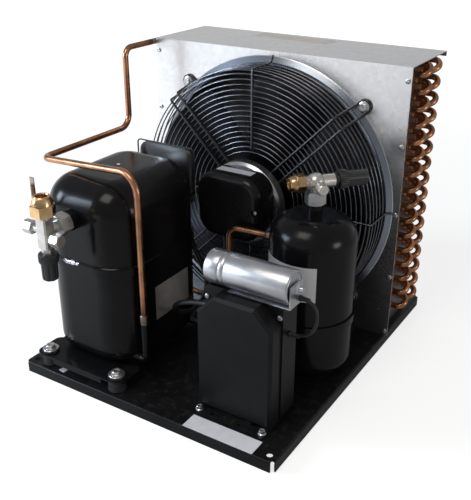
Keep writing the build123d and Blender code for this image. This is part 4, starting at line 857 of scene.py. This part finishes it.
coat_cad(enamel, "discharge_stub")
line_spots = [((STUB_X, STUB_Y, 0.106), 0.007, 0.034), ((-0.2295, 0.104, 0.427), 0.012, 0.032)]
coat_cad(tinted_copper("line_copper", (0.52, 0.255, 0.140), line_spots), "discharge_line")
liquid_spots = [(RECEIVER_PORT, 0.008, 0.030)]
coat_cad(tinted_copper("liquid_copper", (0.36, 0.19, 0.11), liquid_spots), "liquid_line")
charging_spots = [((-0.170, -0.251, 0.311), 0.018, 0.020), ((-0.170, -0.246, 0.262), 0.002, 0.024)]
coat_cad(tinted_copper("charging_copper", (0.30, 0.17, 0.11), charging_spots), "process_tube")

SLEEVE_PROFILE = [
    (0.0050, 0.0960),
    (0.0062, 0.0965),
    (0.0064, 0.1000),
    (0.0064, 0.1080),
    (0.0060, 0.1098),
    (0.0050, 0.1110),
]
SOCKET_PROFILE = [(0.0068, -0.0030), (0.0068, 0.0085), (0.0063, 0.0100), (0.0050, 0.0112)]
braze = surface(
    "braze", (0.24, 0.19, 0.15), 0.35, 1.0, mottle=0.25, mottle_scale=150, grain=0.3, grain_scale=600
)
settle(moved(lathe("joint_sleeve", SLEEVE_PROFILE, 28), at(STUB_X, STUB_Y, 0)), braze)
outward = Vector((-0.1336, -0.0121, 0)).to_track_quat("Z", "X").to_matrix().to_4x4()
settle(moved(lathe("receiver_socket", SOCKET_PROFILE, 28), at(*RECEIVER_PORT) @ outward), braze)


# Suction and receiver service valves: nickel-plated bodies, zinc union nuts, brass
# flare nuts and black moulded caps over the spindles.
SUCTION_X = -0.123
SUCTION_Y = -0.2805
RECEIVER_X = 0.1496
RECEIVER_Y = -0.0339
VALVE_TURN = 49
AT_RECEIVER = at(RECEIVER_X, RECEIVER_Y, 0.294) @ turned(VALVE_TURN, "Z") @ turned(90, "Y")
AT_GAUGE = at(RECEIVER_X, RECEIVER_Y, 0.291) @ turned(VALVE_TURN - 90, "Z") @ turned(90, "Y")
OVER = turned(180, "X")


def flare_nut(name, flats, height, tube_r):
    """Flare nut, mouth up: chamfered hexagon, turned neck in two steps and a bored mouth."""
    half = flats / 2
    band = height * 0.58
    nut_hex = hexagon(name, flats, 0, band, flats * 0.05, flats * 0.05)
    profile = [
        (half * 0.70, 0.0002),
        (half * 0.97, band - 0.0001),
        (half * 0.95, band + height * 0.03),
        (half * 0.93, band + height * 0.08),
        (half * 0.98, band + height * 0.09),
        (half * 0.96, band + height * 0.14),
        (half * 0.80, height * 0.90),
        (half * 0.80, height * 0.96),
        (half * 0.74, height),
        (tube_r * 1.12, height),
        (tube_r * 1.04, height - 0.0010),
        (tube_r * 1.02, height * 0.48),
    ]
    return join_pieces(name, [nut_hex, lathe("neck", profile, 40, 25)])


def port_cap(name, flats, length, place):
    """Hexagonal port cap with a small raised button on its end."""
    cap = hexagon(name, flats, 0, length, 0.0022, 0.0006)
    steps = [
        (flats * 0.30, length - 0.0004),
        (flats * 0.29, length + 0.0001),
        (flats * 0.16, length - 0.0002),
    ]
    return moved(join_pieces(name, [cap, lathe("cap_end", steps, 28)]), place)


def spindle_cap(name, length):
    """Moulded cap, mouth at z = 0: ribbed skirt, groove and a fluted grip with a domed end."""
    profile = [
        (0.0086, 0.0008),
        (0.0130, 0.0008),
        (0.0138, 0.0020),
        (0.0138, 0.0112),
        (0.0132, 0.0128),
        (0.0118, 0.0134),
        (0.0117, 0.0146),
        (0.0115, 0.0150),
        (0.0112, length - 0.0045),
        (0.0108, length - 0.0012),
        (0.0098, length - 0.0001),
        (0.0040, length - 0.0002),
    ]
    cap = lathe(name, profile, 72, 30)
    for vertex in cap.data.vertices:
        x, y, z = vertex.co
        step = round(math.degrees(math.atan2(y, x)) / 5)
        if 0.0015 < z < 0.0125 and math.hypot(x, y) > 0.0125 and step % 2:
            vertex.co.x, vertex.co.y = x * 0.955, y * 0.955
        if z > 0.0148 and math.hypot(x, y) > 0.008 and step % 9 in (0, 1, 8):
            vertex.co.x, vertex.co.y = x * 0.93, y * 0.93
    return finish_mesh(cap, 28)


nickel = surface(
    "nickel", (0.68, 0.66, 0.62), 0.34, 0.88, mottle=0.14, mottle_scale=90, grain=0.35, grain_scale=420
)
coat_cad(nickel, "suction_valve_body", "receiver_valve_body")
coat_cad(bare_steel, "suction_valve_stem", "receiver_valve_stem")

brass = surface("brass", (0.70, 0.47, 0.24), 0.24, 1.0, mottle=0.2, mottle_scale=70, grain=0.06)
brass_nuts = [
    moved(flare_nut("suction_nut", 0.030, 0.028, 0.008), at(SUCTION_X, SUCTION_Y, 0.270) @ turned(30, "Z")),
    moved(flare_nut("liquid_nut", 0.024, 0.0225, 0.0048), AT_RECEIVER @ at(0, 0, -0.0175) @ OVER),
]
settle(join_pieces("brass_nuts", brass_nuts), brass, "unit", "flare_nuts")
neck_turn = math.radians(VALVE_TURN)
union_nuts = [
    moved(hexagon("union", 0.029, 0, 0.019, 0.0016, 0.0016, 0.3), at(SUCTION_X, -0.2428, 0.247) @ TO_FRONT),
    moved(hexagon("neck_nut", 0.026, 0.262, 0.281, 0.0014, 0.0014, neck_turn), at(RECEIVER_X, RECEIVER_Y, 0)),
]
settle(join_pieces("union_nuts", union_nuts), bolt_zinc, "unit", "valve_nuts")
packing = hexagon("packing_nut", 0.0145, 0.2165, 0.2238, 0.0008, 0.0, 0.2)
settle(moved(packing, at(SUCTION_X, SUCTION_Y, 0)), bolt_zinc)
caps = [
    port_cap("port_cap_left", 0.017, 0.016, at(-0.144, SUCTION_Y, 0.248) @ turned(-90, "Y")),
    port_cap("port_cap_right", 0.017, 0.014, at(-0.110, SUCTION_Y, 0.238) @ turned(90, "Y")),
    port_cap("gauge_cap", 0.014, 0.015, AT_GAUGE @ at(0, 0, 0.0135)),
]
settle(join_pieces("hex_port_caps", caps), nickel, "unit", "port_caps")
suction_cap = moved(spindle_cap("suction_cap", 0.039), at(SUCTION_X, SUCTION_Y, 0.216) @ OVER)
settle(suction_cap, moulding, "suction_cap", "suction_stem_cap")
receiver_cap = moved(spindle_cap("receiver_cap", 0.044), AT_RECEIVER @ at(0, 0, 0.031))
settle(receiver_cap, moulding, "receiver_cap", "receiver_stem_cap")
ring = lathe("cap_ring", [(0.0090, 0.0262), (0.0100, 0.0265), (0.0100, 0.0298), (0.0088, 0.0302)], 36)
settle(moved(ring, AT_RECEIVER), rubber)


# Receiver: two drawn cups swaged together, in the same black enamel, with a blank foil
# label wrapped round its side.
RECEIVER_R = 0.063
LABEL_HEADING = math.radians(258.5)
LABEL_Z = 0.165

coat_cad(enamel, "receiver_lower_shell", "receiver_upper_shell", "receiver_foot")
deselect()
bpy.ops.mesh.primitive_grid_add(x_subdivisions=28, y_subdivisions=1, size=1)
wrap = bpy.context.object
wrap.name = "receiver_label"
wrap.scale = (0.096, 0.053, 1)
bpy.ops.object.transform_apply()
edit_all()
bpy.ops.mesh.extrude_region_move(TRANSFORM_OT_translate={"value": (0, 0, 0.0003)})
bpy.ops.object.mode_set(mode="OBJECT")
for vertex in wrap.data.vertices:
    x, y, z = vertex.co
    turn = LABEL_HEADING + x / RECEIVER_R
    r = RECEIVER_R + 0.00005 + z
    vertex.co = (RECEIVER_X + r * math.cos(turn), RECEIVER_Y + r * math.sin(turn), LABEL_Z + y)
settle(finish_mesh(wrap, 40), label_foil)


# Electrical box: black moulded tray and cover on a folded black bracket, with the
# starting relay inside. The same cross-recess screws hold its cover and the motor's.
BOX_X = 0.128
box_grain = {"mottle": 0.2, "mottle_scale": 40, "grain": 0.4, "grain_scale": 1100, "specular": 0.25}
box_plastic = surface("box_plastic", (0.007, 0.007, 0.0075), 0.38, **box_grain)
coat_cad(box_plastic, "electrical_box_cover", "electrical_box_base")
coat_cad(moulding, "box_relay")
box_places = []
for side in (-1, 1):
    place = at(BOX_X + side * 0.0555, -0.1885, 0.165)
    box_places.append(place @ TO_FRONT @ Matrix.Rotation(side * 0.5, 4, "Z"))
box_screws = copies(pan_screw("box_screw", 0.0038, 0.0026, 0.0017, 0.016), box_places, "box_screws")
motor_screw = pan_screw("motor_screw", 0.0038, 0.0026, 0.0017, 0.044)
moved(motor_screw, at(0.048, -0.025, 0.222) @ TO_FRONT @ Matrix.Rotation(0.8, 4, "Z"))
settle(join_pieces("cover_screw_set", [box_screws, motor_screw]), bolt_zinc, "unit", "cover_screws")


# Capacitor: drawn aluminium can with two rolled grooves, crimped to its closed end, on
# a galvanised saddle that its stud nut clamps.
CAN_R = 0.023
CAN_LENGTH = 0.1245
GROOVE = [(CAN_R, -0.0021), (0.0226, -0.0011), (0.0219, 0), (0.0226, 0.0011), (CAN_R, 0.0021)]
GROOVES_AT = (0.0215, 0.0295)
can_profile = [(0.0150, 0.0006), (0.0190, 0.0006), (0.0206, 0.0002), (0.0222, 0.0006), (CAN_R, 0.0020)]
for middle in GROOVES_AT:
    can_profile += [(r, middle + z) for r, z in GROOVE]
can_profile += [
    (CAN_R, CAN_LENGTH - 0.0024),
    (0.0226, CAN_LENGTH - 0.0010),
    (0.0212, CAN_LENGTH),
    (0.0198, CAN_LENGTH - 0.0004),
    (0.0190, CAN_LENGTH - 0.0018),
    (0.0060, CAN_LENGTH - 0.0016),
]
can_low, can_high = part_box("capacitor_can")
can_place = at(can_low[0], (can_low[1] + can_high[1]) / 2, (can_low[2] + can_high[2]) / 2)
can = moved(lathe("capacitor_shell", can_profile, 72, 40), can_place @ turned(90, "Y"))
drawn_can = surface(
    "drawn_can", (0.62, 0.63, 0.66), 0.36, 1.0, mottle=0.10, mottle_scale=40, grain=0.08, grain_scale=300
)
settle(can, drawn_can, "unit", "capacitor_can")
coat_cad(galvanised("saddle_zinc", (0.62, 0.63, 0.66), 200, 0.28), "capacitor_bracket")


# Cables between the housings: black sheathed leads that leave moulded glands, sag
# between compressor, motor and box, and go back into a housing at the far end.
LEADS = {
    "compressor_cable": (
        [
            (0.068, -0.170, 0.140),
            (0.036, -0.171, 0.138),
            (-0.001, -0.168, 0.120),
            (-0.012, -0.148, 0.093),
            (-0.010, -0.108, 0.077),
            (-0.018, -0.066, 0.078),
            (-0.035, -0.032, 0.092),
            (-0.058, -0.020, 0.115),
            (-0.077, -0.0225, 0.152),
            (-0.079, -0.0235, 0.208),
        ],
        0.0085,
        0.346,
    ),
    "motor_cable": (
        [
            (-0.016, -0.008, 0.170),
            (-0.016, -0.008, 0.130),
            (-0.012, -0.027, 0.108),
            (-0.006, -0.059, 0.090),
            (-0.003, -0.094, 0.083),
            (0.006, -0.131, 0.087),
            (0.024, -0.164, 0.099),
            (0.068, -0.160, 0.106),
        ],
        0.0055,
        0.248,
    ),
    "capacitor_cable": (
        [
            (0.188, -0.170, 0.134),
            (0.200, -0.170, 0.134),
            (0.217, -0.170, 0.141),
            (0.226, -0.169, 0.157),
            (0.225, -0.168, 0.178),
            (0.214, -0.168, 0.1895),
            (0.200, -0.168, 0.1895),
        ],
        0.0048,
        0.097,
    ),
}
GLAND_STEPS = [
    (1.75, 0),
    (1.75, 0.0012),
    (1.6, 0.0022),
    (1.55, 0.0034),
    (1.3, 0.0040),
    (1.28, 0.0080),
    (1.1, 0.0140),
    (1.02, 0.0142),
]


def gland(name, cable_r, here, along):
    """Stepped gland round a lead's end, its collar against the housing and its nose along the lead."""
    piece = lathe(name, [(cable_r * share, z) for share, z in GLAND_STEPS], 24)
    aim = (Vector(along) - Vector(here)).to_track_quat("Z", "X").to_matrix().to_4x4()
    return moved(piece, at(*here) @ aim)


cable_sheath = surface(
    "cable_sheath", (0.014, 0.014, 0.016), 0.38, mottle=0.3, mottle_scale=60, grain=0.25, grain_scale=1500
)
for node, (route, diameter, length) in LEADS.items():
    curve = bpy.data.curves.new(node + "_lead", "CURVE")
    curve.dimensions = "3D"
    spline = curve.splines.new("NURBS")
    spline.points.add(len(route) - 1)
    for point, (x, y, z) in zip(spline.points, route):
        point.co = (x, y, z, 1)
    spline.order_u = 3
    spline.use_endpoint_u = True
    spline.resolution_u = 10
    curve.bevel_depth = diameter / 2
    curve.bevel_resolution = 5
    curve.use_fill_caps = True
    lead = bpy.data.objects.new(node + "_lead", curve)
    bpy.context.scene.collection.objects.link(lead)
    curve.materials.append(cable_sheath)
    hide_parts(node)
    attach(lead, "unit")
    settle(gland(node + "_gland_0", diameter / 2, route[0], route[1]), cable_sheath)
    settle(gland(node + "_gland_1", diameter / 2, route[-1], route[-2]), cable_sheath)
